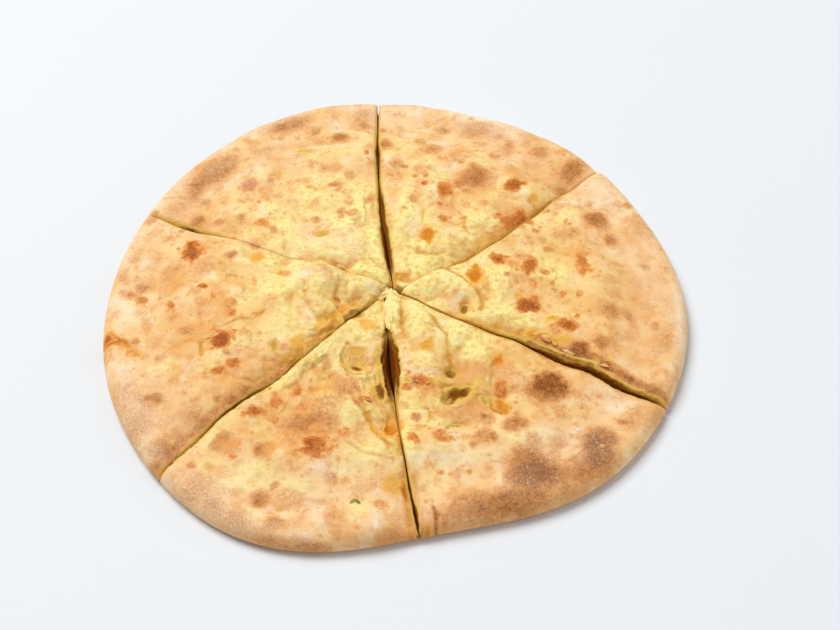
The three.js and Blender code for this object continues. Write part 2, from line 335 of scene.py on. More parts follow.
@dataclass(frozen=True)
class SliceForm:
    """One slice: the cuts on its two sides, its blunt tip and how its top swells and rolls."""

    name: str
    first: Cut
    second: Cut
    tip: float
    lift: float
    first_roll: Roll
    second_roll: Roll
    swells: tuple[Swell, ...]
    bread: BreadForm = field(default_factory=BreadForm)
    tip_rolls: float = 0.15
    rolls_fully: Span = (12.0, 50.0)

    def plan(
        self, across: Array, out: Array, first_extra: Array = 0.0, second_extra: Array = 0.0
    ) -> tuple[Array, Array, Array]:
        """Plan points of the slice.

        Args:
            across: 0 at the first cut and 1 at the second.
            out: 0 at the tip and 1 at the rim.
            first_extra: How much further from the first cut's gap that side starts, mm.
            second_extra: The same at the second cut, mm.

        Returns:
            x, y and how wide the slice is there, mm.
        """
        bread, begin = self.bread, self.first.heading
        end = self.second.heading + (360 if self.second.heading < begin else 0)
        first_reach = mix(self.tip, bread.outline_radius(begin), out)
        second_reach = mix(self.tip, bread.outline_radius(self.second.heading), out)
        ax, ay = self.first.point(bread, first_reach, 1, first_extra)
        bx, by = self.second.point(bread, second_reach, -1, second_extra)
        arc_x, arc_y = bread.outline_point(mix(begin, end, across))
        (px, py), (qx, qy) = bread.outline_point(begin), bread.outline_point(end)
        x = mix(ax, bx, across) + (arc_x - mix(px, qx, across)) * out
        y = mix(ay, by, across) + (arc_y - mix(py, qy, across)) * out
        return x, y, np.hypot(bx - ax, by - ay)

    def nearer(self, across: Array, read: Callable[[Cut], Array]) -> Array:
        """What is read of the cut that each place lies nearer to."""
        return np.where(across < 0.5, read(self.first), read(self.second))

    def filled(self, out: Array) -> Array:
        """1 over the cheese, falling to 0 in the plain rim."""
        return 1 - smoothstep(out, self.bread.filled_share, self.bread.rim_share)

    def top_height(self, across: Array, out: Array) -> Array:
        """Height of the slice's top before its finer relief.

        Args:
            across: 0 at the first cut and 1 at the second.
            out: 0 at the tip and 1 at the rim.

        Returns:
            The height, mm.
        """
        bread, filled = self.bread, self.filled(out)
        x, y, width = self.plan(across, out)
        height = mix(bread.rim_height, bread.filled_height, filled) + self.lift
        height = height + bread.dome_rise * bell(out - bread.dome_share, bread.dome_spread)
        height = height + bread.crown_rise * bell(out - bread.crown_share, bread.crown_spread)
        height = height + bread.lumps(x, y) * mix(bread.lump_at_rim, 1.0, filled)
        for swell in self.swells:
            height = height + swell.rise * bell(np.hypot(x - swell.x, y - swell.y), swell.reach)
        return np.maximum(height - self.rolled(across, width), bread.least_height)

    def rolled(self, across: Array, width: Array) -> Array:
        """How far the top rolls down beside the slice's two cuts.

        Args:
            across: 0 at the first cut and 1 at the second.
            width: How wide the slice is there, mm.

        Returns:
            How far, mm. The tip stays full.
        """
        first = self.first_roll.depth * bell(across * width, self.first_roll.width)
        second = self.second_roll.depth * bell((1 - across) * width, self.second_roll.width)
        return np.maximum(first, second) * mix(self.tip_rolls, 1.0, smoothstep(width, *self.rolls_fully))

    def cheese_height(self, across: Array, out: Array) -> Array:
        """Height of the top of the slice's cheese.

        Args:
            across: 0 at the first cut and 1 at the second.
            out: 0 at the tip and 1 at the rim.

        Returns:
            The height, mm.
        """
        bread = self.bread
        full = self.top_height(across, out) - bread.lid_dough - bread.base_dough
        taper = np.sqrt(1 - np.minimum(out / bread.cheese_share, 1.0) ** bread.cheese_taper)
        return bread.base_dough + mix(bread.cheese_end, full, taper)


SLICES = (
    SliceForm(
        "right", CUTS["right"], CUTS["back_right"], 4.0, 1.0, Roll(2.4, 5.0), Roll(0.8, 3.0),
        (
            Swell(22, 6, 14, 1.8), Swell(46, -15, 9, 1.6), Swell(35, -10, 6, -3.0),
            Swell(41, 11, 6, -1.6), Swell(68, -9, 8, 0.9), Swell(106, 53, 9, 0.8),
        ),
    ),
    SliceForm(
        "back_right", CUTS["back_right"], CUTS["back"], 5.0, -0.2, Roll(3.6, 8.0), Roll(0.8, 3.0),
        (
            Swell(14, 24, 10, 1.2), Swell(6, 52, 13, 0.9), Swell(16, 37, 6, -1.2),
            Swell(41, 85, 10, 0.9), Swell(63, 76, 6, -1.0),
        ),
    ),
    SliceForm(
        "back_left", CUTS["back"], CUTS["back_left"], 6.0, 0.3, Roll(1.0, 3.0), Roll(0.5, 2.5),
        (
            Swell(-13, 14, 9, 2.2), Swell(-30, 35, 14, 1.0), Swell(-27, 14, 6, -2.6),
            Swell(-40, 39, 6, -1.3), Swell(-60, 63, 12, 0.8),
        ),
    ),
    SliceForm(
        "left", CUTS["back_left"], CUTS["front_left"], 5.0, 0.8, Roll(0.6, 3.0), Roll(4.6, 8.0),
        (
            Swell(-34, 9, 13, 3.2), Swell(-15, 3, 8, 1.8), Swell(-54, -11, 14, 1.4),
            Swell(-26, -9, 6, -1.8), Swell(-59, -33, 6, -1.1), Swell(-87, -33, 8, 0.8),
        ),
    ),
    SliceForm(
        "front_left", CUTS["front_left"], CUTS["front"], 6.0, 0.0, Roll(0.2, 3.0), Roll(4.2, 9.0),
        (
            Swell(-20, -24, 10, 1.1), Swell(-45, -50, 9, 1.5), Swell(-30, -72, 10, 1.3),
            Swell(-17, -44, 7, -2.6), Swell(-11, -61, 6, -2.0), Swell(-2, -83, 6, -1.5),
            Swell(-30, -58, 6, -1.2), Swell(-8, -138, 7, 0.9),
        ),
    ),
    SliceForm(
        "front_right", CUTS["front"], CUTS["right"], 1.5, -0.4, Roll(0.8, 3.0), Roll(2.2, 3.0),
        (
            Swell(8, -15, 10, 2.6), Swell(20, -33, 13, 1.3), Swell(47, -45, 13, 0.9),
            Swell(28, -51, 6, -2.2), Swell(28, -67, 7, -2.4), Swell(51, -47, 6, -1.4),
            Swell(75, -60, 11, 1.0), Swell(66, -107, 13, 1.0),
        ),
    ),
)


# ---------------------------------------------------------------- marks on the crust

# Every table in this part is given in mm from the crossing of the cuts.


class Tone(Enum):
    """How a place on the crust is baked or shaded. Each value names the mesh attribute that carries it."""

    BROWN = "browned"
    RUST = "rusted"
    AMBER = "amber"
    # oil, and painted shade in dents, creases and on slopes turned from the light
    OIL_AND_SHADE = "oily"
    FLOUR = "floury"
    # pale yellow where cheese shows through, partly painted light on pillow tops and some slopes
    RICH = "rich"
    PEACH = "peachy"
    # torn crumb on the cut faces, and dark brown painted shade deep in the cuts, along their lips and in holes
    CRUMB_AND_SHADE = "crumb"
    UNDER = "under"


@dataclass(frozen=True)
class Edge:
    """How a tone's marks end: how ragged, from what share of their reach, and how their strength is bent."""

    ragged: float
    starts: float
    bent: float = 1.0
    ends: float = 1.25

    def fading(self, away: Array, ragged: Array) -> Array:
        """How much of a mark is left at some distances from its middle, where its foot is 1."""
        return 1 - smoothstep(away * (1 + self.ragged * ragged), self.starts, self.ends)


EDGES = {
    Tone.BROWN: Edge(0.16, 0.25, 1.5), Tone.RUST: Edge(0.42, 0.3, 1.25), Tone.AMBER: Edge(0.3, 0.35),
    Tone.OIL_AND_SHADE: Edge(0.3, 0.15), Tone.FLOUR: Edge(0.45, 0.0), Tone.RICH: Edge(0.35, 0.2),
    Tone.PEACH: Edge(0.3, 0.2), Tone.CRUMB_AND_SHADE: Edge(0.35, 0.4),
}


@dataclass(frozen=True)
class Mark:
    """A baked place: its middle, its size, how strong it is, how its length is turned and how far it rises."""

    x: float
    y: float
    length: float
    width: float
    strength: float
    turn: float = 0.0
    rise: float = 0.0
    foot: float = 0.53

    def away(self, x: Array, y: Array) -> Array:
        """How far plan points lie from its middle, 1 at its foot."""
        return oval(x - self.x, y - self.y, self.foot * self.length, self.foot * self.width, self.turn)


# Each row is the numbers of a Mark in the order above, and a turn or a rise of 0 is left out.
MARKS: dict[Tone, tuple[tuple[float, ...], ...]] = {
    Tone.BROWN: (
        # back left slice
        (-99, 90, 36, 20, 0.72, 43, 0.3), (-109, 78, 16, 12, 0.66, 60, 0.1), (-60, 128, 32, 15, 0.72, 22, 0.3),
        (-66, 125, 12, 8, 0.5, 20), (-21, 131, 14, 16, 0.42, 0, 0.2), (-31, 115.5, 13, 12, 0.8, 0, 0.4),
        (-106, 53, 9, 12, 0.65, 0, 0.3), (-94, 49, 8, 7, 0.6, 0, 0.2), (-82, 51.5, 8, 9, 0.6, 0, 0.3),
        (-86, 43, 24, 13, 0.4), (-72, 107, 15, 8, 0.5, 35, 0.2), (-67, 82.5, 9, 11, 0.4, 0, 0.2),
        (-15, 83, 7, 13, 0.3, 0, 0.1), (-33, 89, 8, 7, 0.4, 0, 0.1), (-25, 83, 8, 8, 0.45, 0, 0.1),
        (-31, 75, 8, 10, 0.45, 0, 0.2), (-25, 63, 7, 10, 0.45, 0, 0.2), (-52, 110.5, 12, 8, 0.4, 0, 0.1),
        (-45, 22, 16, 8, 0.35), (-117, 62, 18, 14, 0.5, 40), (-108, 50, 30, 10, 0.4, -8),
        # back right slice
        (43, 82, 23, 22, 0.78, 0, 0.6), (45, 125, 26, 15, 0.6, -5, 0.3), (52, 129, 12, 8, 0.3, -10, 0.1),
        (62, 110, 9, 16, 0.55, -10, 0.2), (79, 106, 13, 12, 0.66, 0, 0.2), (97, 93, 15, 26, 0.72, -40, 0.2),
        (90, 78, 10, 11, 0.65, 0, 0.2), (76, 82, 7, 6, 0.45, 0, 0.1), (20, 105, 13, 12, 0.6, -15, 0.2),
        (0, 93, 10, 9, 0.55, 0, 0.1), (0, 80.5, 9, 7, 0.4, 0, 0.1), (13, 88, 10, 12, 0.45, 0, 0.1),
        (75, 95, 14, 9, 0.35, 0, 0.1), (-7, 109.5, 9, 13, 0.75, 0, 0.2), (77, 118, 16, 8, 0.45, -45),
        (58, 70, 12, 6, 0.3), (34, 100, 9, 7, 0.3),
        # right slice
        (107, 52.5, 16, 16, 0.82, 0, 0.6), (113, 38, 9, 10, 0.7, 0, 0.3), (94, 40, 8, 10, 0.5, 0, 0.2),
        (129, 50, 17, 13, 0.55, -60, 0.2), (110, -13, 18, 14, 0.65, 0, 0.3), (92.5, -37.5, 12, 15, 0.95, 0, 0.4),
        (103, -35, 9, 11, 0.7, 0, 0.2), (118, -27.5, 9, 11, 0.4, 0, 0.3), (136, -30, 18, 13, 0.5, 75, 0.3),
        (113, -1, 8, 9, 0.4, 0, 0.2), (125, 7.5, 8, 7, 0.35, 0, 0.2), (128, 26, 11, 8, 0.3),
        (121, -44, 14, 9, 0.35, 20, 0.1), (140, -6, 8, 16, 0.3), (99, 30, 7, 10, 0.35), (134, 12, 12, 8, 0.25),
        (84, 42, 10, 8, 0.25),
        # front right slice
        (75, -62, 28, 17, 0.9, 4, 0.3), (77, -56, 18, 16, 0.85, 0, 0.3), (59, -83, 15, 11, 0.72, 15, 0.4),
        (44, -89.5, 11, 12, 0.6, 0, 0.3), (35, -90, 8, 7, 0.4, 0, 0.1), (81, -76, 8, 6, 0.45, 0, 0.3),
        (99, -88, 22, 15, 0.85, 10, 0.3), (99, -97, 20, 20, 0.9, 10, 0.1), (94, -107, 22, 12, 0.55, 30),
        (68, -106.5, 32, 23, 0.92, -8, 0.5), (70, -109, 14, 9, 0.9, -50, -0.3), (68, -100, 8, 10, 0.4),
        (60, -112, 16, 13, 0.6), (46, -52, 30, 12, 0.45), (34, -77, 34, 14, 0.5), (-40, -86, 40, 16, 0.55),
        # The long marks on the next row, along the front rim, are partly browning and partly painted shade where the
        # rim turns away from the light.
        (52, -125, 66, 16, 0.84, 15, 0.1), (34, -122, 22, 10, 0.45, 8), (88, -107, 36, 16, 0.66, 36),
        (116, -76, 24, 14, 0.5, 62, 0.1), (127, -73, 18, 8, 0.4, 60), (58, -48, 6, 8, 0.4, 0, 0.1),
        (76, -68, 16, 9, 0.5), (60, -56, 16, 10, 0.35), (95, -50, 15, 6, 0.45, -27), (28, -122, 12, 7, 0.3),
        (45, -120, 18, 8, 0.35, 10),
        # front left slice
        (-62, -123.5, 10, 11, 0.8, 0, 0.2), (-54, -137, 14, 9, 0.6, 0, 0.1), (-28, -133, 9, 8, 0.5, 0, 0.1),
        (-93, -117, 16, 20, 0.5, -40, 0.1), (-83, -127, 12, 9, 0.55, -30, 0.1), (-73, -133, 15, 10, 0.6, 0, 0.1),
        (-63, -141, 22, 9, 0.45, -25), (-48, -146, 34, 8, 0.5, -14, 0.1), (-33, -148, 20, 6, 0.5, -6),
        (-18, -143, 8, 6, 0.3), (-61, -97, 12, 11, 0.6, 0, 0.2), (-78, -95, 18, 11, 0.5, -10, 0.2),
        (-50, -123, 18, 12, 0.45), (-88, -123, 26, 14, 0.45, -38), (-80, -108, 16, 10, 0.3),
        (-40, -79, 46, 24, 0.5, 35), (-22, -62, 26, 14, 0.5, -20), (-6, -68, 8, 14, 0.4), (2, -141, 14, 9, 0.45, 10),
        # left slice
        (-111, -94, 13, 12, 0.62, 0, 0.1), (-113, -105, 12, 9, 0.65, -45), (-118, -67.5, 10, 10, 0.8, 0, 0.3),
        (-108, -56, 9, 9, 0.45, 0, 0.1), (-104, -26, 16, 11, 0.6, 0, 0.2), (-117, 13.5, 10, 15, 0.5, 0, 0.2),
        (-126, 10, 7, 9, 0.35, 0, 0.1), (-141, 13, 7, 12, 0.5, 0, 0.1), (-84, -8, 9, 8, 0.5, 0, 0.2),
        (-97, -77, 20, 8, 0.5, -14), (-39, 11, 13, 13, 0.4), (-34, 6, 8, 13, 0.4, 20), (-125, 44.5, 9, 9, 0.3),
        (-90, -66, 22, 10, 0.3, 40), (-120, -30, 14, 10, 0.3), (-99, 17, 16, 18, 0.45), (-121, -83, 18, 16, 0.6, 40),
        (-126, -69, 20, 26, 0.5, 20), (-100, -50, 14, 8, 0.25), (-134, -60, 18, 10, 0.35, 70),
    ),
    Tone.RUST: (
        # back left slice
        (-80, 76, 13, 10, 0.78, 80, 0.6), (-70, 47, 7, 6, 0.6, 0, 0.2), (-73, 62.5, 2.5, 3, 0.7),
        (-16, 100.5, 2.5, 2.5, 0.7), (-114, 32, 2.5, 2.5, 0.6), (-100, 95, 5, 3, 0.4, 45), (-108, 84, 6, 3, 0.35, 60),
        # back right slice
        (26, 73, 10, 14, 0.75, 0, 0.3), (15, 76, 4, 4, 0.75, 0, 0.1), (63, 75, 12, 13, 0.9, 0, 0.3),
        (25, 51.6, 8, 7, 0.65, 0, 0.2), (36, 51.6, 6, 6, 0.5, 0, 0.1), (64, 51, 24, 14, 0.8, 35, 0.2),
        (68, 53, 9, 8, 0.85, 45, 0.2), (10, 82.5, 2.5, 2.5, 0.6), (16, 81.5, 3, 2.5, 0.6), (24, 62, 3, 2.5, 0.5),
        # right slice
        (69, 15.6, 11, 13, 0.9, 0, 0.5), (53, 20.6, 9, 9, 0.85, 0, 0.3), (67, -10.4, 15, 11, 0.95, 0, 0.4),
        (86, -23.4, 10, 10, 0.85, 0, 0.3), (97, 20.6, 6, 9, 0.7, 10, 0.2), (97, 12.6, 7, 7, 0.65, 0, 0.2),
        (97, 29, 6, 7, 0.35), (80, 28, 7, 4, 0.55, 0, 0.1), (74, 40.4, 6, 5, 0.5, 0, 0.1),
        (94, -3, 5, 7, 0.5, 0, 0.1), (86, -2.5, 4, 4, 0.6), (62.5, 11.6, 2.5, 2.5, 0.6), (92, -18, 4, 3, 0.55, 40),
        (71, 4.6, 6, 9, 0.45), (75, -37, 9, 9, 0.85), (92, 46, 4, 2.5, 0.5, 20), (76, 44, 3, 3, 0.5),
        (92, -38, 5, 7, 0.35),
        # front right slice
        (13, -58.4, 11, 8, 0.85, -10, 0.3), (6, -61.4, 6, 5, 0.65), (52, -62.4, 8, 11, 0.75, 0, 0.2),
        (10, -92, 5, 9, 0.6, 25, 0.1), (24, -92, 11, 7, 0.5, 0, 0.1), (100, -93, 3.5, 2, 0.9), (22, -109, 4, 3, 0.5),
        (28, -110, 4, 3, 0.4), (36, -108, 5, 4, 0.35), (88, -80.5, 3, 1.5, 0.5), (40, -74, 8, 4, 0.4, -30),
        # front left slice
        (-37, -95, 15, 15, 0.82, 0, 0.3), (-40, -96, 6, 9, 0.7, 0, 0.1), (-36, -86, 9, 5, 0.65, 0, 0.2),
        (-23, -89, 8, 7, 0.55, 0, 0.2), (-59, -98, 8, 7, 0.5, 0, 0.1), (-77, -95, 13, 8, 0.5, 10, 0.2),
        (-76, -100, 6, 5, 0.6, 0, 0.1), (-83, -93, 6, 4, 0.4, 30), (-67, -75.4, 9, 8, 0.8, 0, 0.3),
        (-57, -71, 6, 8, 0.6, 0, 0.3), (-57, -80, 7, 6, 0.55, 0, 0.2), (-47, -65.4, 9, 6, 0.7, 70, 0.3),
        (-44, -74.4, 9, 6, 0.6, 0, 0.2), (-37, -71, 5, 9, 0.4, 0, 0.1), (-50, -89, 8, 8, 0.5, 0, 0.2),
        (-13, -69.4, 8, 4, 0.65, -15), (-23, -114, 6, 6, 0.4, 0, 0.1), (-10, -113, 2, 2, 0.5),
        (-5, -126.5, 9, 7, 0.6, -45, 0.1), (-95, -103, 4, 4, 0.45), (-30, -107, 5, 4, 0.35), (-71, -87, 6, 4, 0.3),
        # left slice
        (-86, -34.4, 14, 15, 0.98, 0, 0.4), (-86, -33, 7, 8, 0.7, 0, 0.2), (-86, -52, 8, 6, 0.75, 0, 0.2),
        (-79, -48, 8, 6, 0.7, 20, 0.2), (-107, 29, 10, 15, 0.95, 0, 0.3), (-104, 26, 4, 5, 0.5),
        (-98, 3, 6, 4.5, 0.9, 0, 0.1), (-136, 0.5, 13, 6, 0.65, -10, 0.2), (-129, -3, 9, 6, 0.7, -50, 0.2),
        (-114, -8.5, 6, 3.5, 0.7, -60), (-84, -8, 7, 6, 0.6, 0, 0.1), (-82, -16, 6, 6, 0.6, 0, 0.2),
        (-118, -69, 6, 4, 0.8), (-68, -62, 9, 5, 0.65, 20, 0.1), (-29, -7.5, 5, 9, 0.6, 10, -0.3),
        (-59, -35.4, 6, 8, 0.45, 0, -0.2), (-72, 5.5, 5, 8, 0.4), (-130, -38, 7, 5, 0.6), (-144, -28.5, 5, 7, 1),
        (-70, -16.5, 6, 3.5, 0.45, 20), (-140, 3, 3, 3, 0.6), (-88, 7, 3, 1.5, 0.5),
    ),
    Tone.AMBER: (
        (88, -36, 44, 16, 0.35, -26), (0, -117, 14, 14, 0.4), (-28, -62, 24, 20, 0.25, -20), (17, 38.6, 9, 13, 0.75),
        (61, 73, 7, 6, 0.85), (41, 10, 9, 16, 0.75, 0, -0.2), (6, -61, 7, 5, 0.6), (51, -47.4, 7, 10, 0.72, 0, -0.3),
        (53, -73, 12, 7, 0.65, -50), (15, -37.5, 10, 8, 0.42), (-143.5, -29, 9, 12, 1, 0, 0.2),
        (-136, -32, 13, 6, 0.85, -20), (-129, -38, 8, 6, 0.45, 0, 0.1), (-70, 47, 8, 7, 0.65, 0, 0.1),
        (-18, -47, 7, 7, 0.4), (-1, -84.4, 10, 9, 0.75), (-57, 11.5, 8, 6, 0.5), (-26, -11, 11, 9, 0.5, 20),
        (-18, -38, 12, 5, 0.3), (-36, -24, 10, 9, 0.25, 30), (7, -118, 6, 18, 0.8, 12), (-72, 22, 9, 10, 0.4),
        (80, -19, 9, 5, 0.45), (63, -4, 5, 4, 0.4), (-14, -22.5, 12, 11, 0.3), (-39, 39.6, 8, 6, 0.45),
        (75, 68, 6, 6, 0.4), (46, 36, 14, 6, 0.2, 25), (8, -143, 36, 14, 0.9, 8), (-55, 108, 10, 6, 0.3),
        (-9, -85, 12, 5, 0.4, -50), (-64, 85, 6, 8, 0.3), (-54, -92, 12, 6, 0.25, 20), (70, -31, 12, 6, 0.55, -25),
        (107, -49, 14, 6, 0.6, -24, -0.8), (-48, -34, 16, 8, 0.3, 45),
    ),
    # Ochre in dents, most with a rise below 0: partly oil, partly painted shade. The marks about (-31, -15), (-21, -7)
    # and (-20, -13) are painted shade under the left slice's lobe, and those from (-85, -107) to (-28, -139) are
    # painted shade in the front left rim's crags.
    Tone.OIL_AND_SHADE: (
        (-27, 14, 8, 5, 1, -35, -1.6), (-39, 39.5, 10, 6, 0.6, 0, -0.9), (-58, 31.6, 5, 10, 0.5, 0, -0.5),
        (-31, -15, 20, 9, 0.6, 30, -0.8), (-21, -7, 13, 9, 0.8, 40, -0.8), (-59, -35.4, 7, 9, 0.7, 10, -0.8),
        (35.5, -10, 6, 11, 1, -10, -2), (3, 10, 10, 9, 0.9, 0, -0.8), (31, 31.6, 8, 18, 0.25, 0, -0.5),
        (-20, -13, 13, 14, 0.7, 0, -0.6), (12, 28, 5, 8, 0.4, 0, -0.5), (-18, -44, 17, 17, 0.4, 0, -1.2),
        (36, -62, 56, 46, 0.42), (-18, -37, 14, 4, 0.6, 0, -0.4), (-18, -47.4, 6, 5, 0.8, 0, -0.7),
        (-6, -66, 10, 20, 0.75, 0, -0.9), (-2, -84, 8, 14, 0.6, 10, -0.9), (28, -51, 9, 9, 0.75, 0, -2.6),
        (27, -67.4, 10, 10, 0.7, 0, -2.2), (35, -64.5, 8, 5, 0.7, 20, -1.7), (51, -47.4, 6, 9, 0.35, 0, -0.7),
        (44, -72, 18, 6, 0.4, -40, -0.6), (-52, -128, 9, 6, 0.6, 10, -0.4), (-97, -77, 18, 6, 0.4, -14, -0.3),
        (-12, 62, 4, 22, 0.45, 4, -0.5), (62, 14, 6, 14, 0.35, 0, -0.5), (47, 2, 6, 18, 0.5, 12, -0.7),
        (74, -6, 10, 8, 0.3, 0, -0.4), (-33, -51, 7, 12, 0.6, -50, -0.9), (-60, 62, 14, 10, 0.25, 0, -0.4),
        (-43, 72, 4, 8, 0.45, 0, -0.3), (73, 67, 5, 6, 0.5, 0, -0.2), (-87, -105.5, 6, 9, 0.45, 0, -0.2),
        (-27, -56, 9, 6, 0.5, 0, -0.7), (-23, -34, 4, 4, 0.3, 0, -0.5), (14, 57, 4, 18, 0.3, 0, -0.4),
        (33, -38, 8, 6, 0.3, 0, -0.5), (19, -76, 8, 10, 0.35, 0, -0.5), (38, -74, 7, 9, 0.5, 0, -0.7),
        (-53, -8, 8, 6, 0.35, 20, -0.4), (7, -118, 5, 18, 0.5, 12, -0.6), (-85, -107, 11, 6, 0.35, -40, -0.7),
        (-73, -104, 8, 6, 0.3, 0, -0.6), (-63, -112, 9, 7, 0.35, 10, -0.7), (-71, -119, 9, 5, 0.4, -24, -0.7),
        (-53, -109, 7, 6, 0.3, 0, -0.5), (-57, -119, 8, 5, 0.3, -10, -0.6), (-43, -127, 10, 5, 0.35, -8, -0.6),
        (-37, -119, 7, 6, 0.25, 0, -0.5), (-28, -139, 12, 5, 0.3, -6, -0.5),
    ),
    Tone.FLOUR: (
        (-98, 94, 16, 10, 0.55, 46), (-72, 106, 8, 6, 0.4, 30), (67, -106, 24, 16, 0.3, -15),
        (103, -92, 28, 20, 0.25, 40), (90, -83.5, 6, 6, 1, 0, 0.1), (76, -68, 16, 6, 0.4),
        # The long mark at (145, -18) pales the right rim's edge: painted light where the rim turns away from the light.
        (72, -88, 32, 12, 0.75, 12), (145, -18, 12, 96, 0.85, -3), (108, -64, 26, 8, 0.6, -28),
        (28, -101, 52, 12, 0.85, 3), (-60, -138, 44, 14, 0.45, -24), (-26, -108, 44, 12, 0.7, 12),
        (76, -115, 20, 10, 0.4, 30), (-126, -70, 18, 40, 0.8, 20), (-138, -16, 14, 26, 0.85),
        (-118, -84, 18, 20, 0.7, 40), (-122, -72, 14, 10, 0.6), (-132, -56, 14, 24, 0.8, 16),
        (112, 74, 26, 18, 0.7, -52), (130, 50, 20, 14, 0.35, -60), (45, 125, 26, 14, 0.3, -15), (41, 84, 12, 10, 0.4),
        (-7, -138, 9, 18, 1, 5, 0.2), (140, -20, 12, 44, 0.2, 8), (0, 141, 100, 16, 0.7), (50, 132, 70, 22, 1, -22),
        (-70, 128, 80, 16, 0.7, 32), (-122, 76, 44, 16, 0.6, 56), (-143, -4, 14, 26, 0.8),
        (-84, -128, 76, 24, 0.8, -38), (-8, -147, 26, 9, 0.9), (-12, 1, 14, 9, 0.8, -18),
        (-113, -96, 22, 12, 0.7, -60), (-80, 76, 40, 36, 0.5), (-46, 10, 20, 18, 0.9), (-30, 32, 56, 34, 0.65, -12),
        (9, 44, 18, 24, 0.8), (-56, 100, 50, 34, 0.5, 20), (-140, 30, 12, 36, 0.3, -14), (-36, 5, 10, 14, 0.6, 20),
        (8, -60, 4, 3, 0.8, 0, 0.1), (118, 60, 18, 12, 0.3, -50), (-84, 14, 8, 6, 0.4), (52, -113, 5, 6, 0.6),
    ),
    # Holes and recesses in the crumb tone, with dark brown painted shade at their middles.
    Tone.CRUMB_AND_SHADE: (
        (28, -51, 9, 9, 0.84), (28, -66.5, 9, 11, 0.84, -20), (35, -63.5, 11, 7, 0.8, 24), (31, -63, 10, 6, 0.7),
        (24, -57, 14, 5, 0.45, 20), (41, -59, 7, 10, 0.4), (-27, 14.5, 9, 5, 0.92, -35), (35.5, -11, 6, 9, 0.86, -10),
        (-18, -47, 8, 6, 0.85), (-39, 39, 8, 3, 0.75), (-21, -15, 14, 10, 0.86, 42), (-59, -36, 5, 8, 0.75, 10),
        (-50, 104.5, 13, 4, 0.65, 5), (-18, -44, 14, 12, 0.35), (18, -79, 4, 7, 0.7, 20), (30, -84, 10, 3, 0.75, 12),
        (44, -69, 8, 3.5, 0.75, -48), (6, -58, 4, 3, 0.7), (-30, -8, 5, 4, 0.6), (-5, -64, 6, 16, 0.75),
    ),
    Tone.PEACH: (
        (-75, -50, 26, 24, 0.5), (105, 46, 24, 20, 0.6), (88, 84, 30, 18, 0.5, -45), (-62, -74, 26, 18, 0.4),
        # back left slice
        (-113, 62, 20, 18, 0.6), (-88, 47, 28, 16, 0.65), (-104, 88, 30, 22, 0.4, 45), (-64, 98, 16, 28, 0.5),
        (-30, 112, 18, 16, 0.5), (-2, 68, 9, 22, 0.7), (-50, 114, 32, 20, 0.4), (-75, 70, 22, 22, 0.45),
        (-92, 68, 14, 22, 0.4), (-62, 40, 16, 10, 0.35), (-106, 53, 36, 14, 0.6, -10), (-12, 106, 14, 14, 0.5),
        # back right slice
        (43, 72, 22, 38, 0.85), (85, 98, 38, 24, 0.65, -45), (10, 100, 28, 14, 0.5), (68, 86, 22, 18, 0.7),
        (60, 62, 22, 14, 0.5, 35), (3, 80, 12, 20, 0.4), (34, 102, 24, 12, 0.4),
        # right slice
        (54, 34, 22, 14, 0.75, 35), (72, 36, 26, 16, 0.65, 25), (92, 28, 28, 26, 0.65), (122, 42, 26, 22, 0.5),
        (101, -12, 22, 20, 0.75), (126, -6, 20, 26, 0.6), (66, 4, 18, 34, 0.45), (88, -6, 24, 20, 0.5),
        (108, 18, 20, 20, 0.2), (132, -12, 30, 96, 0.5), (76, -48, 70, 16, 0.45, -26), (20, -136, 60, 22, 0.45, 8),
        (112, -40, 26, 14, 0.4, -20), (104, 4, 84, 86, 0.35), (60, 22, 24, 24, 0.4),
        # front right slice
        (42, -54, 26, 24, 0.45), (64, -44, 34, 16, 0.7, -25), (38, -77, 32, 20, 0.4), (92, -46, 28, 10, 0.8, -27),
        (94, -101, 34, 24, 0.7, 35), (60, -121, 54, 16, 0.5, 15), (9, -134, 9, 24, 0.9, 8), (34, -50, 24, 26, 0.45),
        (118, -62, 22, 12, 0.5, -30),
        # front left slice
        (-46, -73, 62, 30, 0.65, 43), (-24, -62, 26, 14, 0.45, -30), (-4, -64, 10, 18, 0.8), (-42, -91, 36, 20, 0.7),
        (-58, -94, 20, 16, 0.5),
        # left slice
        (-114, 8, 20, 32, 0.85), (-80, 11, 24, 18, 0.65), (-105, -27, 28, 20, 0.65), (-67, -18, 26, 24, 0.65),
        (-82, -58, 34, 26, 0.5, 30), (-92, -8, 20, 26, 0.5), (-96, 30, 26, 16, 0.4), (-102, -78, 54, 34, 0.5, -42),
        (-92, -30, 50, 60, 0.4), (-60, -44, 24, 24, 0.35),
    ),
    Tone.RICH: (
        # Pale yellow where cheese shows through. The marks about (-14, 1), (-13, 2), (17, 7) and (18, -9) also brighten
        # slopes turned from the light near the crossing: painted light.
        (113, 13, 14, 9, 0.4), (-14, 1, 22, 12, 0.9, -18), (-4, -27, 9, 16, 0.7), (-88, -84, 20, 7, 0.6, 44),
        (-13, 11, 26, 16, 0.75, -38), (-9, 35, 10, 28, 0.8, 8), (-24, 27, 26, 14, 0.45, -34, 0.2),
        (-30, 44, 34, 18, 0.35, -10, 0.2), (-18, 60, 10, 30, 0.6, 0, 0.2), (-46, 74, 12, 36, 0.45, 0, 0.2),
        (-44, 21, 30, 12, 0.35, -24, 0.2), (-66, 57, 10, 8, 0.7, 0, 0.2), (-37, 63, 5, 9, 0.7, 0, 0.3),
        (6, 60, 10, 32, 0.75, -6, 0.2), (2, 44, 12, 24, 0.45, 0, 0.2), (20, 20, 13, 7, 0.95, 35, 0.2),
        (41, 50, 15, 12, 0.8, 0, 0.3), (64, 65, 12, 6, 0.6), (24, 82, 8, 16, 0.4), (17, 7, 26, 18, 0.95, 25),
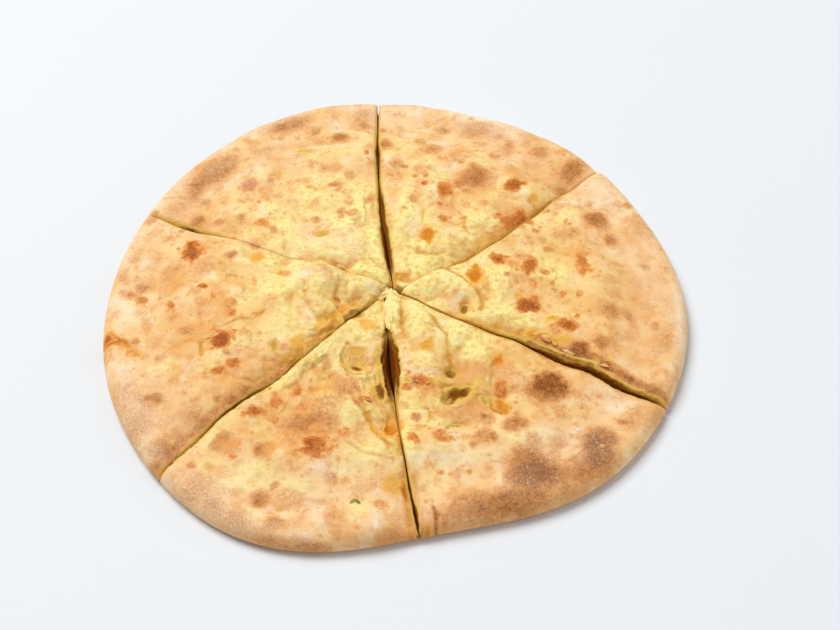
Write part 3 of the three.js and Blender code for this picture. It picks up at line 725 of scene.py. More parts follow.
        (33, 4, 16, 14, 0.8, -20), (53, 4, 16, 26, 0.7, 8, 0.2), (83, 12, 16, 17, 0.85, 0, 0.3),
        (62, -21, 34, 10, 0.7, -22, 0.2), (92, 56, 16, 12, 0.6, 30), (-1, -14, 7, 28, 1, 2),
        (12, -20, 14, 26, 0.8, -8), (31, -28, 14, 24, 0.85, -20), (38, -42, 16, 14, 0.6),
        (46, -50, 5, 30, 0.85, 2, 0.2), (8, -91, 9, 22, 0.9, 0, 0.3), (-12, -23, 16, 22, 0.8, -25),
        (-40, -46, 18, 11, 0.95, 35), (-52, -56, 20, 8, 0.85, 38), (-35, -55, 11, 8, 0.7, 0, 0.2),
        (-16, -53, 20, 5, 0.8, 5, 0.3), (-10, -98, 16, 18, 0.5, 0, 0.2), (-68, -111, 30, 18, 0.75, -10, 0.2),
        (-84, -108, 20, 16, 0.6, -40, 0.2), (-46, -117, 22, 12, 0.6, 0, 0.2), (-62, -132, 26, 5, 0.5, -25, 0.2),
        (-36, -24, 15, 7, 0.95, 30, 0.2), (-50, 6, 10, 12, 0.7, 0, 0.2), (-37, -1, 7, 7, 0.7, 0, 0.2),
        (-13, 2, 22, 10, 0.95, -18), (-62, 0, 20, 20, 0.5, 0, 0.2), (-80, 28, 14, 7, 0.7, 0, 0.2),
        (-66, 21, 14, 9, 0.6, 0, 0.2), (-55, -22, 24, 16, 0.6, 40, 0.2), (-138, -12, 12, 22, 0.75),
        (-113, -48, 22, 9, 0.7, 0, 0.2), (-66, -40, 18, 6, 0.5, 20, 0.2), (-15, -129, 10, 13, 0.7, 0, 0.1),
        (-24, -108, 10, 14, 0.5, 0, 0.1), (22, -112, 20, 14, 0.35, 10, 0.1), (-118, 32, 12, 9, 0.35),
        (-86, -88, 24, 12, 0.8, 45), (27, -101, 46, 11, 0.5, 3), (70, -89, 30, 11, 0.5, 8),
        (18, -9, 26, 12, 0.8, -27), (3, -96, 14, 26, 0.9, 4), (-50, -55, 20, 7, 0.8, 38),
        (76, -32, 12, 8, 0.4, -20, 0.2),
    ),
}


@dataclass(frozen=True)
class Pillow:
    """A lump of curd that lifts the dough over it, with a broad top and steep sides."""

    x: float
    y: float
    length: float
    width: float
    turn: float
    height: float
    foot: float = 0.58
    # the side that faces the diner, away from the light, where painted shade goes
    shade_step: tuple[float, float] = (0.5, -0.86)
    shade_level: float = 0.35
    shade_swing: float = 0.75

    def away(self, x: Array, y: Array) -> Array:
        """How far plan points lie from its middle, 1 at its foot."""
        return oval(x - self.x, y - self.y, self.foot * self.length, self.foot * self.width, self.turn)

    def shaded_side(self, x: Array, y: Array) -> Array:
        """How much plan points lie on the side of it that faces the diner, away from the light, where painted shade
        goes.

        Args:
            x: Plan places across, mm.
            y: Plan places back, mm.

        Returns:
            How much, from 0 to 1.
        """
        dx, dy = x - self.x, y - self.y
        facing = self.shade_step[0] * dx + self.shade_step[1] * dy
        return np.clip(self.shade_level + self.shade_swing * facing / np.maximum(np.hypot(dx, dy), 0.1), 0, 1)


PILLOWS = (
    # back left slice
    Pillow(-13, 11.5, 25, 16, -38, 1.6), Pillow(-9, 33, 10, 28, 8, 1.0), Pillow(-33, 26, 26, 12, -15, 0.8),
    Pillow(-30, 44, 20, 13, 10, 0.5), Pillow(-58, 46, 22, 11, 20, 0.4), Pillow(-20, 60, 8, 22, 0, 0.5),
    # back right slice
    Pillow(14, 17, 22, 9, 38, 0.7), Pillow(4, 48, 11, 34, -6, 0.7), Pillow(17, 33, 10, 12, 0, 0.5),
    Pillow(40, 50, 16, 12, 0, 0.6),
    # right slice
    Pillow(17, 5, 30, 17, 25, 0.9), Pillow(32, 2, 21, 17, -40, 0.8), Pillow(53, 5, 9, 24, 10, 0.5),
    Pillow(56, -16, 16, 9, -20, 0.6), Pillow(83, 12, 14, 14, 0, 0.4),
    # front right slice
    Pillow(-1, -14, 7.5, 29, 2, 1.3), Pillow(12, -20, 13, 26, -8, 1.0), Pillow(32, -27, 14, 24, -20, 1.0),
    Pillow(40, -41, 13, 18, 0, 0.6), Pillow(46, -50, 4.5, 30, 2, 1.0), Pillow(15, -47, 14, 12, 0, 0.5),
    Pillow(10, -76, 9, 16, 0, 0.5), Pillow(9, -94, 8, 22, -6, 0.5),
    # front left slice
    Pillow(-12, -22, 14, 22, -25, 0.8), Pillow(-40, -46, 17, 9, 35, 1.2), Pillow(-51, -56, 20, 8, 38, 1.0),
    Pillow(-27, -76, 27, 20, -20, 1.0), Pillow(-36, -55, 10, 7, 0, 0.7), Pillow(-16, -53.5, 20, 5, 4, 0.8),
    # left slice
    Pillow(-37, 7, 21, 19, -10, 1.4), Pillow(-51, 5, 12, 14, 0, 0.8), Pillow(-14, 2, 22, 9, -18, 0.9),
    Pillow(-37, -24, 17, 7, 32, 1.1), Pillow(-58, -20, 22, 14, 40, 0.6), Pillow(-66, 18, 20, 10, -10, 0.4),
)


@dataclass(frozen=True)
class Line:
    """A crease, where rise is below 0, or a strand of cheese that shows through the dough."""

    points: Points
    width: float
    rise: float
    tone: Tone
    strength: float

    def distance(self, x: Array, y: Array) -> Array:
        """How far plan points lie from the line, mm.

        Args:
            x: Plan places across.
            y: Plan places back.

        Returns:
            The distance from each point to the nearest stretch of the line.
        """
        best = np.full_like(x, 1e9)
        for (ax, ay), (bx, by) in zip(self.points[:-1], self.points[1:]):
            dx, dy = bx - ax, by - ay
            share = np.clip(((x - ax) * dx + (y - ay) * dy) / (dx * dx + dy * dy), 0, 1)
            best = np.minimum(best, np.hypot(x - ax - share * dx, y - ay - share * dy))
        return best


def crease(points: Points, width: float, depth: float, strength: float) -> Line:
    """A crease along some points, with ochre in it that is partly oil and partly painted shade."""
    return Line(points, width, -depth, Tone.OIL_AND_SHADE, strength)


def strand(points: Points, width: float, rise: float, strength: float) -> Line:
    """A pale strand of cheese along some points."""
    return Line(points, STRAND_SLIMMING * width, rise, Tone.RICH, strength)


LINES = (
    # bands beside the cuts, on the slopes that roll into them: painted shade, partly oil and browning
    crease(((52, -23), (68, -31), (85, -39), (105, -48)), 3.4, 0.0, 0.5),
    Line(((67, -33), (76, -37), (90, -44), (98, -47.5)), 2.0, 0.0, Tone.CRUMB_AND_SHADE, 0.85),
    Line(((70, -34), (80, -38), (92, -44)), 2.6, 0.0, Tone.BROWN, 0.8),
    crease(((68, -29), (76, -33), (90, -40)), 4.0, 0.0, 0.5),
    Line(((84, -38), (98, -44), (110, -50), (122, -57), (132, -64)), 3.2, 0.0, Tone.BROWN, 0.72),
    Line(((92, -42), (104, -46), (116, -53)), 3.0, 0.0, Tone.AMBER, 0.6),
    crease(((5, -112), (7, -126), (8.5, -144)), 3.0, 0.0, 0.6),
    crease(((-92, -112), (-76, -121), (-62, -127), (-50, -130), (-34, -131)), 3.2, 0.9, 0.12),
    crease(((-24, -16), (-52, -43), (-82, -73), (-108, -101)), 3.2, 0.0, 0.5),
    crease(((9.5, -112), (11, -128), (13, -147)), 3.2, 0.0, 0.75),
    Line(((10, -122), (12, -136), (13, -147)), 2.0, 0.0, Tone.BROWN, 0.4),
    Line(((-78, -67), (-99, -87), (-111, -103)), 3.0, 0.0, Tone.BROWN, 0.55),
    Line(((-56, -50), (-66, -59), (-78, -69)), 2.6, 0.0, Tone.BROWN, 0.55),
    crease(((5.5, -113), (8, -122)), 2.4, 0.0, 0.5),
    Line(((-7, -38), (-6, -52), (-4, -64)), 2.4, 0.0, Tone.CRUMB_AND_SHADE, 0.7),
    crease(((46, 35), (60, 46), (84, 66)), 3.6, 0.0, 0.5),
    # back left slice
    crease(((-125, 70), (-117, 71), (-110, 69.5)), 0.6, 0.5, 0.8),
    crease(((-24, 17), (-19, 21), (-12, 22), (-4, 19)), 1.6, 0.8, 0.3),
    crease(((-46, 18), (-38, 20), (-31, 17)), 1.5, 0.7, 0.4),
    strand(((-17, 47), (-16, 55), (-18, 64)), 1.2, 0.7, 0.9),
    strand(((-22, 44), (-21, 52), (-22, 58)), 1.0, 0.5, 0.8),
    # back right slice
    crease(((7, 30), (12, 26), (18, 25), (26, 27)), 1.4, 0.7, 0.4),
    crease(((14, 47), (15, 56), (20, 62)), 1.0, 0.5, 0.4),
    crease(((34, 57), (37, 52), (36, 45)), 0.9, 0.6, 0.5),
    strand(((8, 56), (7, 62), (8.5, 69)), 1.1, 0.5, 0.8),
    # right slice
    crease(((25, 16), (30, 12), (36, 6.5), (41, 1), (45, -6), (44, -13)), 1.5, 1.2, 0.65),
    crease(((4, -4), (9, -5), (16, -7)), 1.2, 0.5, 0.3),
    crease(((63, 4), (60, 10), (60, 17)), 0.8, 0.4, 0.4),
    strand(((47, 14), (51, 8), (50, 0), (54, -8)), 1.1, 0.7, 0.9),
    strand(((55, 12), (58, 5), (57, -3)), 1.0, 0.6, 0.8),
    strand(((74, 6), (77, 13), (84, 17), (91, 13)), 1.0, 0.7, 0.9),
    strand(((78, 17), (84, 21), (90, 19)), 0.9, 0.5, 0.8),
    strand(((80, 4), (83, 9), (80, 16)), 0.9, 0.5, 0.7),
    strand(((70, -31), (73, -28.5), (78, -29), (80, -33)), 1.1, 0.8, 0.6),
    strand(((84, -40), (88, -41.5), (91, -44)), 1.2, 0.7, 0.6),
    strand(((100, -47), (107, -45), (113, -48), (117, -54)), 1.1, 0.6, 0.5),
    strand(((122, -60), (126, -60), (131, -64)), 1.1, 0.6, 0.4),
    # front right slice
    crease(((19, -18), (22, -24), (26, -31), (27, -40), (28, -48)), 1.3, 1.0, 0.6),
    crease(((3.5, -5), (4.5, -14), (4, -24), (5, -31)), 1.0, 0.9, 0.35),
    crease(((42, -66.5), (46, -70.5), (50, -75), (54, -77)), 1.1, 1.3, 0.95),
    crease(((22, -62), (29, -60), (36, -60), (41, -63)), 1.2, 0.6, 0.5),
    crease(((26, -86), (30, -82.5), (35, -82)), 0.9, 0.7, 0.8),
    crease(((17, -74), (18.5, -79), (17, -82)), 0.8, 0.7, 0.7),
    Line(((19, -128), (20.5, -133), (20, -139), (22, -145)), 1.0, -0.8, Tone.BROWN, 0.75),
    Line(((12.5, -140), (16, -143), (20.5, -142)), 0.9, -0.5, Tone.BROWN, 0.6),
    Line(((84, -101), (88, -98), (97, -90), (106, -92)), 0.9, -0.3, Tone.BROWN, 0.4),
    strand(((22, -58), (28, -61), (34, -60), (40, -62.5)), 1.3, 1.0, 0.8),
    strand(((21, -73), (23, -67), (27, -62)), 1.0, 0.7, 0.7),
    strand(((40, -66), (35, -71), (28, -74)), 1.1, 0.8, 0.7),
    strand(((44, -63), (48, -66), (55, -75), (59, -76)), 1.2, 0.9, 0.5),
    strand(((16, -76), (23, -81), (31, -82)), 0.9, 0.5, 0.7),
    strand(((12, -84), (20, -85), (26, -82)), 0.9, 0.5, 0.6),
    # front left slice
    crease(((-40, -63), (-34, -63), (-26, -64), (-19, -66), (-15, -73), (-10, -83), (-2, -93)), 1.5, 1.1, 0.7),
    crease(((-26, -42), (-25, -49), (-19, -53), (-11, -51), (-8, -44)), 1.2, 0.7, 0.5),
    crease(((-21, -95), (-13, -100), (0, -102)), 1.1, 0.5, 0.5),
    crease(((-25, -103), (-26, -110), (-27, -116)), 0.9, 0.4, 0.5),
    crease(((-50, -128), (-40, -124), (-30, -126)), 1.2, 0.4, 0.3),
    strand(((-10, -52), (-8, -58), (-4, -64)), 1.0, 0.7, 0.8),
    strand(((-15, -56), (-13, -62), (-9, -68)), 1.0, 0.7, 0.8),
    strand(((-21, -57), (-18, -63), (-12, -72), (-4, -79)), 1.1, 0.8, 0.7),
    strand(((-6, -70), (-3, -76), (-4, -84)), 0.9, 0.6, 0.7),
    strand(((-40, -54), (-33, -57), (-27, -55)), 1.0, 0.6, 0.7),
    strand(((-24, -34), (-27, -42), (-24, -50)), 1.1, 0.8, 0.8),
    strand(((-31, -36), (-34, -43), (-40, -49)), 1.1, 0.7, 0.8),
    strand(((-46, -58), (-43, -66), (-45, -72)), 1.0, 0.6, 0.6),
    strand(((-52, -62), (-51, -69), (-55, -76)), 1.0, 0.6, 0.5),
    # left slice
    crease(((-85, -23), (-77, -20), (-70, -19), (-66, -15)), 0.9, 0.6, 0.7),
    crease(((-95, -42), (-96, -35), (-90, -30), (-83, -28.5), (-79, -34)), 0.9, 0.6, 0.9),
    crease(((-73, -38), (-68, -40), (-64, -38)), 0.9, 0.4, 0.5),
    crease(((-46, -2), (-43, -12), (-38, -19)), 1.4, 0.7, 0.4),
    crease(((-28, 4), (-30, -4), (-28, -10)), 1.3, 0.6, 0.4),
    crease(((-47, 14), (-45, 6), (-46, -2)), 1.2, 0.5, 0.2),
    crease(((-78, -56), (-70, -57), (-64, -60)), 1.0, 0.5, 0.4),
)


@dataclass(frozen=True)
class Shreds:
    """A patch where short shreds of cheese press up against the thin dough."""

    x: float
    y: float
    spread: float
    count: int
    seed: int
    rise: float = 0.4
    bend: float = 0.8
    halves: Span = (1.5, 3.8)
    widths: Span = (0.45, 0.75)
    strengths: Span = (0.3, 0.7)
    rises: Span = (0.5, 1.2)

    def lines(self) -> list[Line]:
        """Lays the patch's shreds.

        Returns:
            The shreds, each a short bent strand.
        """
        random, made = np.random.default_rng(self.seed), []
        for _ in range(self.count):
            x, y = random.normal((self.x, self.y), self.spread / 2)
            turn, bend = random.uniform(0, math.pi), random.uniform(-self.bend, self.bend)
            half = random.uniform(*self.halves)
            near = (x - half * math.cos(turn), y - half * math.sin(turn))
            far = (x + half * math.cos(turn + bend), y + half * math.sin(turn + bend))
            width, strength = random.uniform(*self.widths), random.uniform(*self.strengths)
            made.append(strand((near, (x, y), far), width, self.rise * random.uniform(*self.rises), strength))
        return made


SHREDS = (
    Shreds(-18, 56, 22, 16, 11),
    Shreds(-35, 60, 24, 10, 12, 0.3),
    Shreds(12, 55, 22, 16, 13),
    Shreds(30, 50, 18, 8, 14, 0.3),
    Shreds(52, 6, 16, 12, 15),
    Shreds(82, 12, 14, 10, 16),
    Shreds(68, -26, 18, 10, 17),
    Shreds(28, -70, 20, 16, 18, 0.5),
    Shreds(24, -40, 26, 12, 19, 0.3),
    Shreds(-12, -52, 20, 16, 20, 0.5),
    Shreds(-34, -48, 24, 14, 21),
    Shreds(-4, -80, 14, 10, 22),
    Shreds(-50, -14, 34, 14, 23, 0.3),
    Shreds(-62, 24, 26, 8, 24, 0.3),
    Shreds(-9, -64, 13, 18, 25, 0.6),
)


@dataclass(frozen=True)
class Freckles:
    """Small baked dots that are strewn over a ring of the crust."""

    tone: Tone
    count: int
    inner: float
    outer: float
    least: float
    most: float
    strength: float
    seed: int
    narrowest: float = 0.6
    weakest: float = 0.4
    rise: float = 0.05

    def marks(self) -> list[Mark]:
        """Strews the dots.

        Returns:
            The dots, as marks that hardly rise.
        """
        random = np.random.default_rng(self.seed)
        radius = np.sqrt(random.uniform(self.inner**2, self.outer**2, self.count))
        turn = random.uniform(0, math.tau, self.count)
        length = random.uniform(self.least, self.most, self.count)
        width = length * random.uniform(self.narrowest, 1.0, self.count)
        strength = self.strength * random.uniform(self.weakest, 1.0, self.count)
        heading = random.uniform(0, 180, self.count)
        columns = (radius * np.cos(turn), radius * np.sin(turn), length, width, strength, heading)
        return [Mark(*row, self.rise) for row in np.stack(columns, 1)]


FRECKLES = (
    Freckles(Tone.RUST, 120, 30, 110, 1.2, 3.4, 0.4, 31),
    Freckles(Tone.RUST, 50, 40, 105, 3.0, 6.0, 0.35, 32),
    Freckles(Tone.BROWN, 230, 55, 146, 4.0, 10.0, 0.65, 33),
    Freckles(Tone.BROWN, 20, 90, 140, 12.0, 22.0, 0.25, 35),
    Freckles(Tone.OIL_AND_SHADE, 170, 12, 100, 1.5, 5.0, 0.5, 34),
)


@dataclass(frozen=True)
class Pleats:
    """Short folds where the dough is drawn down beside a cut, across it."""

    cut: str
    side: int
    start: float
    end: float
    pitch: float
    height: float
    reach: float
    fade: float = 8.0
    drift: float = 2.4
    level: float = 0.6
    swing: float = 0.6

    def rise(self, x: Array, y: Array) -> Array:
        """How high they stand at plan points.

        Args:
            x: Plan places across, mm.
            y: Plan places back, mm.

        Returns:
            The height, mm, below 0 between the folds.
        """
        along, aside = turned(x, y, -CUTS[self.cut].heading)
        aside = self.side * aside
        begins = smoothstep(along, self.start, self.start + self.fade)
        ends = 1 - smoothstep(along, self.end - self.fade, self.end)
        drift, size = Grain(71, 9.0).at(along, aside / 3), Grain(72, 7.0).at(along, aside / 4)
        fold = np.cos(math.tau * (along + self.drift * drift) / self.pitch)
        band = bell(aside - self.reach / 2, self.reach / 1.8)
        return self.height * (self.level + self.swing * size) * fold * begins * ends * band


PLEATS = (
    Pleats("right", 1, 36, 82, 6.2, 0.4, 9.0),
    Pleats("front_left", 1, 30, 80, 7.5, 0.3, 8.0),
    Pleats("front_left", -1, 30, 90, 8.5, 0.3, 8.0),
    Pleats("back", -1, 20, 70, 7.0, 0.4, 6.0),
    Pleats("back", 1, 22, 60, 6.5, 0.4, 6.0),
    Pleats("front", -1, 60, 110, 6.0, 0.4, 7.0),
)


@dataclass
class Skin:
    """The places of one slice's surface, with the relief and the baking that have gathered there so far.

    Each tone is kept as how far a place is still free of it, so that marks which overlap deepen one
    another and never pass full strength.
    """

    x: Array
    y: Array
    filled: Array
    ragged: Array
    rise: Array
    free: dict[Tone, Array]

    def tint(self, which: Tone, share: Array, near: Array | slice = slice(None)) -> None:
        """Deepens a tone by a share at some of the places."""
        self.free[which][near] *= 1 - share


@dataclass
class Crust:
    """The finer relief of the bread's top and how each place on it is baked, with painted light and shade on its
    pillows, hollows and creases.
    """

    ragged_pitch: float = 6.0
    fine_pitch: float = 2.2
    fine_share: float = 0.6
    mark_reach: float = 0.8
    pillow_reach: float = 0.85
    pillow_drift: tuple[float, float] = (1.7, -1.2)
    pillow_flatness: float = 2.6
    pillow_height: float = 1.85
    # pale yellow on pillow tops is partly painted light, and ochre round their feet on the diner's side is painted
    # shade
    pillow_rich_and_lit: float = 0.85
    rich_fades: Span = (0.5, 1.1)
    rich_lost_in_shade: float = 0.5
    pillow_shade: float = 0.4
    shade_band: float = 0.16
    line_reach: float = 3.0
    line_ragged: float = 0.4
    middle_reach: float = 85.0
    middle_least: float = 0.45
    wrinkle_pitch: float = 10.0
    wrinkle_height: float = 0.55
    wrinkle_sharp: float = 2.6
    wrinkle_sunk: float = 1.0
    crinkle_pitch: float = 4.6
    crinkle_height: float = 0.3
    crinkle_sharp: float = 1.8
    crinkle_sunk: float = 0.6
    # ochre in the wrinkles' hollows, partly oil and partly painted shade
    hollow_depths: Span = (0.05, 0.9)
    hollow_oil_and_shade: float = 0.48
    cheesy_pitch: float = 15.0
    cheesy_middle: float = 1.2
    cheesy_from: Span = (0.1, 1.3)
    cheesy: float = 0.8
    rimmed_pitch: float = 19.0
    rimmed_from: Span = (-0.7, 0.7)
    rimmed: float = 0.08
    sifted: float = 0.6
    sifted_level: float = 0.65
    covered: tuple[tuple[Tone, Tone, float], ...] = (
        (Tone.RICH, Tone.PEACH, 0.8), (Tone.FLOUR, Tone.AMBER, 0.7), (Tone.FLOUR, Tone.BROWN, 0.35),
        (Tone.RUST, Tone.BROWN, 0.75), (Tone.AMBER, Tone.BROWN, 0.6),
    )
    rim_pitch: float = 16.0
    rim_height: float = 0.5
    pimple_pitch: float = 1.5
    pimple_height: float = 0.05
    lines: list[Line] = field(default_factory=lambda: [*LINES, *(x for s in SHREDS for x in s.lines())])

    def marks(self) -> list[tuple[Tone, Mark]]:
        """Every mark with its tone."""
        placed = [(which, Mark(*row)) for which, rows in MARKS.items() for row in rows]
        return placed + [(spread.tone, mark) for spread in FRECKLES for mark in spread.marks()]

    def read(self, x: Array, y: Array, filled: Array) -> tuple[Array, dict[Tone, Array]]:
        """The relief and the baking at plan points.

        Args:
            x: Plan places across, mm.
            y: Plan places back, mm.
            filled: 1 over the cheese and 0 in the plain rim.

        Returns:
            The height of the relief in mm, and for each tone how strong it is, from 0 to 1.
        """
        ragged = Grain(1, self.ragged_pitch).at(x, y) + self.fine_share * Grain(2, self.fine_pitch).at(x, y)
        skin = Skin(x, y, filled, ragged, np.zeros_like(x), {each: np.ones_like(x) for each in Tone})
        for press in (self.press_marks, self.press_pillows, self.press_lines, self.bake):
            press(skin)
        for under, over, share in self.covered:
            skin.free[under] += (1 - skin.free[under]) * share * (1 - skin.free[over])
        rise = skin.rise + sum(pleats.rise(x, y) for pleats in PLEATS)
        rise += (1 - filled) * self.rim_height * Grain(5, self.rim_pitch).at(x, y)
        rise += self.pimple_height * Grain(6, self.pimple_pitch).at(x, y)
        return rise, {each: 1 - free for each, free in skin.free.items()}

    def press_marks(self, skin: Skin) -> None:
        """Adds the marks.

        Args:
            skin: The places that they are added to.
        """
        for which, mark in self.marks():
            reach = self.mark_reach * max(mark.length, mark.width)
            near = np.nonzero((np.abs(skin.x - mark.x) < reach) & (np.abs(skin.y - mark.y) < reach))[0]
            away, edge = mark.away(skin.x[near], skin.y[near]), EDGES[which]
            skin.tint(which, mark.strength**edge.bent * edge.fading(away, skin.ragged[near]), near)
            skin.rise[near] += mark.rise * np.square(1 - np.minimum(away, 1) ** 2)

    def press_pillows(self, skin: Skin) -> None:
        """Adds the pillows, rich on top, partly as painted light, with ochre painted shade at their feet on the diner's
        side, away from the light.

        Args:
            skin: The places that they are added to.
        """
        drift_x, drift_y = self.pillow_drift
        for pillow in PILLOWS:
            reach = self.pillow_reach * max(pillow.length, pillow.width)
            near = np.nonzero(np.hypot(skin.x - pillow.x, skin.y - pillow.y) < reach)[0]
            ragged = skin.ragged[near]
            px, py = skin.x[near] + drift_x * ragged, skin.y[near] + drift_y * ragged
            away, shaded_side = pillow.away(px, py), pillow.shaded_side(px, py)
            form = np.square(1 - np.minimum(away, 1) ** self.pillow_flatness)
            skin.rise[near] += self.pillow_height * pillow.height * form
            # pale yellow on the top, less on the shaded side, as cheese colour and painted light; ochre painted shade
            # round the foot
            lit_top = (1 - smoothstep(away, *self.rich_fades)) * (1 - self.rich_lost_in_shade * shaded_side)
            skin.tint(Tone.RICH, self.pillow_rich_and_lit * lit_top, near)
            oily_shade = shaded_side * bell(away - 1.0, self.shade_band) * min(pillow.height, 1)
            skin.tint(Tone.OIL_AND_SHADE, self.pillow_shade * oily_shade, near)

    def press_lines(self, skin: Skin) -> None:
        """Adds the creases and the strands.

        Args:
            skin: The places that they are added to.
        """
        x, y = skin.x, skin.y
        for line in self.lines:
            xs, ys = zip(*line.points)
            reach = self.line_reach * line.width
            inside = (x > min(xs) - reach) & (x < max(xs) + reach) & (y > min(ys) - reach) & (y < max(ys) + reach)
            near = np.nonzero(inside)[0]
            distance = line.distance(x[near], y[near]) * (1 + self.line_ragged * skin.ragged[near])
            form = bell(distance, line.width)
            skin.rise[near] += line.rise * form
            skin.tint(line.tone, line.strength * form, near)

    def bake(self, skin: Skin) -> None:
        """Adds what covers the whole crust: wrinkles, ochre in their hollows as oil and painted shade, cheese, browning
        and sifted flour.

        Args:
            skin: The places that it is added to.
        """
        x, y, plain = skin.x, skin.y, 1 - skin.filled
        middle = skin.filled * mix(self.middle_least, 1.0, bell(np.hypot(x, y), self.middle_reach))
        wrinkle = self.wrinkle_sharp * np.abs(Grain(3, self.wrinkle_pitch).at(x, y)) - self.wrinkle_sunk
        crinkle = self.crinkle_sharp * np.abs(Grain(4, self.crinkle_pitch).at(x, y)) - self.crinkle_sunk
        rough = middle * (self.wrinkle_height * wrinkle + self.crinkle_height * crinkle)
        skin.rise += rough
        # ochre in the hollows: partly oil, partly painted shade
        skin.tint(Tone.OIL_AND_SHADE, self.hollow_oil_and_shade * smoothstep(-rough, *self.hollow_depths))
        cheesy = smoothstep(Grain(7, self.cheesy_pitch).at(x, y) + self.cheesy_middle * middle, *self.cheesy_from)
        skin.tint(Tone.RICH, self.cheesy * middle * cheesy)
        rimmed = smoothstep(Grain(8, self.rimmed_pitch).at(x, y), *self.rimmed_from)
        skin.tint(Tone.BROWN, self.rimmed * (plain * rimmed))
        cloudy = mix(self.sifted_level, 1.0, Grain(9, self.rimmed_pitch).at(x, y))
        skin.tint(Tone.FLOUR, self.sifted * (plain * cloudy))


# ---------------------------------------------------------------- modelling moves


class Bench:
    """Modelling moves that the pieces share."""

    @staticmethod
    def clear() -> None:
        """Goes back to object mode with nothing selected."""
        if bpy.context.object and bpy.context.object.mode != "OBJECT":
            bpy.ops.object.mode_set(mode="OBJECT")
        bpy.ops.object.select_all(action="DESELECT")

    @staticmethod
    def block(name: str, columns: int, rows: int, under_columns: int, walls: int) -> bpy.types.Object:
        """A closed slab in unit space: a fine upper sheet, a coarse lower one and walls between them.

        Args:
            name: The piece's name.
            columns: Faces across the upper sheet, which under_columns divides.
            rows: Faces along both sheets.
            under_columns: Faces across the lower sheet.
            walls: Rows of faces in the walls.

        Returns:
            The slab, from 0 to 1 across and along and from 0 down to -1.
        """
        Bench.clear()
        bpy.ops.mesh.primitive_grid_add(x_subdivisions=columns, y_subdivisions=rows, size=1)
        block = bpy.context.object
        block.name = block.data.name = name
        bpy.ops.object.mode_set(mode="EDIT")
        bpy.ops.mesh.select_all(action="DESELECT")
        bpy.ops.mesh.primitive_grid_add(
            x_subdivisions=under_columns, y_subdivisions=rows, size=1, location=(0, 0, -1)
        )
        bpy.ops.mesh.flip_normals()
        Bench.pick_edges(block, lambda a, b: (a[:, 2] < -0.5) & (np.abs(a[:, 1] + b[:, 1]) > 0.9999))
        if columns > under_columns:
            bpy.ops.mesh.subdivide(number_cuts=columns // under_columns - 1)
        bpy.ops.mesh.select_all(action="DESELECT")
        bpy.ops.mesh.select_mode(type="EDGE")
        bpy.ops.mesh.select_non_manifold(use_wire=False, use_multi_face=False, use_non_contiguous=False)
        bpy.ops.mesh.bridge_edge_loops(number_cuts=walls - 1, interpolation="LINEAR")
        bpy.ops.mesh.select_all(action="SELECT")
        bpy.ops.transform.translate(value=(0.5, 0.5, 0))
        bpy.ops.object.mode_set(mode="OBJECT")
        return block

    @staticmethod
    def cluster(name: str, adds: Iterable[Callable[[], object]]) -> bpy.types.Object:
        """Several simple solids as one piece.

        Args:
            name: The piece's name.
            adds: The moves that each add one solid, in order.

        Returns:
            The piece, in object mode.
        """
        Bench.clear()
        for k, add in enumerate(adds):
            add()
            if k == 0:
                piece = bpy.context.object
                piece.name = piece.data.name = name
                bpy.ops.object.transform_apply(location=True, rotation=True, scale=True)
                bpy.ops.object.mode_set(mode="EDIT")
        bpy.ops.object.mode_set(mode="OBJECT")
        return piece

    @staticmethod
    def pick_edges(piece: bpy.types.Object, test: Callable[[Array, Array], Array]) -> None:
        """Selects the edges of a piece in edit mode that pass a test on their two ends.

        Args:
            piece: The piece in edit mode.
            test: Takes the places of the edges' two ends and returns which edges to select.
        """
        bpy.ops.mesh.select_mode(type="EDGE")
        bpy.ops.mesh.select_all(action="DESELECT")
        bpy.ops.object.mode_set(mode="OBJECT")
        places, mesh = Bench.places(piece), piece.data
        ends = np.empty(len(mesh.edges) * 2, np.int32)
        mesh.edges.foreach_get("vertices", ends)
        ends = ends.reshape(-1, 2)
        mesh.edges.foreach_set("select", test(places[ends[:, 0]], places[ends[:, 1]]))
        bpy.ops.object.mode_set(mode="EDIT")

    @staticmethod
    def places(piece: bpy.types.Object) -> Array:
        """Reads where the vertices of a piece are.

        Args:
            piece: The piece in object mode.

        Returns:
            A row of x, y and z for each vertex.
        """
        flat = np.empty(len(piece.data.vertices) * 3, np.float32)
        piece.data.vertices.foreach_get("co", flat)
        return flat.reshape(-1, 3).astype(float)

    @staticmethod
    def shape(piece: bpy.types.Object, x: Array, y: Array, z: Array) -> None:
        """Presses a piece into shape.

        Args:
            piece: The piece in object mode.
            x: Where each vertex goes across, mm from the crossing of the cuts.
            y: Where it goes back, mm.
            z: Its height, mm.
        """
        places = np.stack((x + FRAME_SHIFT[0], y + FRAME_SHIFT[1], z), 1) * MM
        piece.data.vertices.foreach_set("co", places.astype(np.float32).ravel())
        piece.data.update()
        bpy.ops.object.mode_set(mode="EDIT")
        bpy.ops.mesh.select_all(action="SELECT")
        bpy.ops.mesh.normals_make_consistent(inside=False)
        bpy.ops.object.mode_set(mode="OBJECT")

    @staticmethod
    def paint(piece: bpy.types.Object, values: dict[Tone, Array]) -> None:
        """Stores how each vertex is baked, and the light or shade painted on it, in the piece's attributes.

        Args:
            piece: The piece in object mode.
            values: For each tone how strong it is at each vertex, from 0 to 1.
        """
        for which, share in values.items():
            layer = piece.data.attributes.new(which.value, "FLOAT", "POINT")
            layer.data.foreach_set("value", share.astype(np.float32))

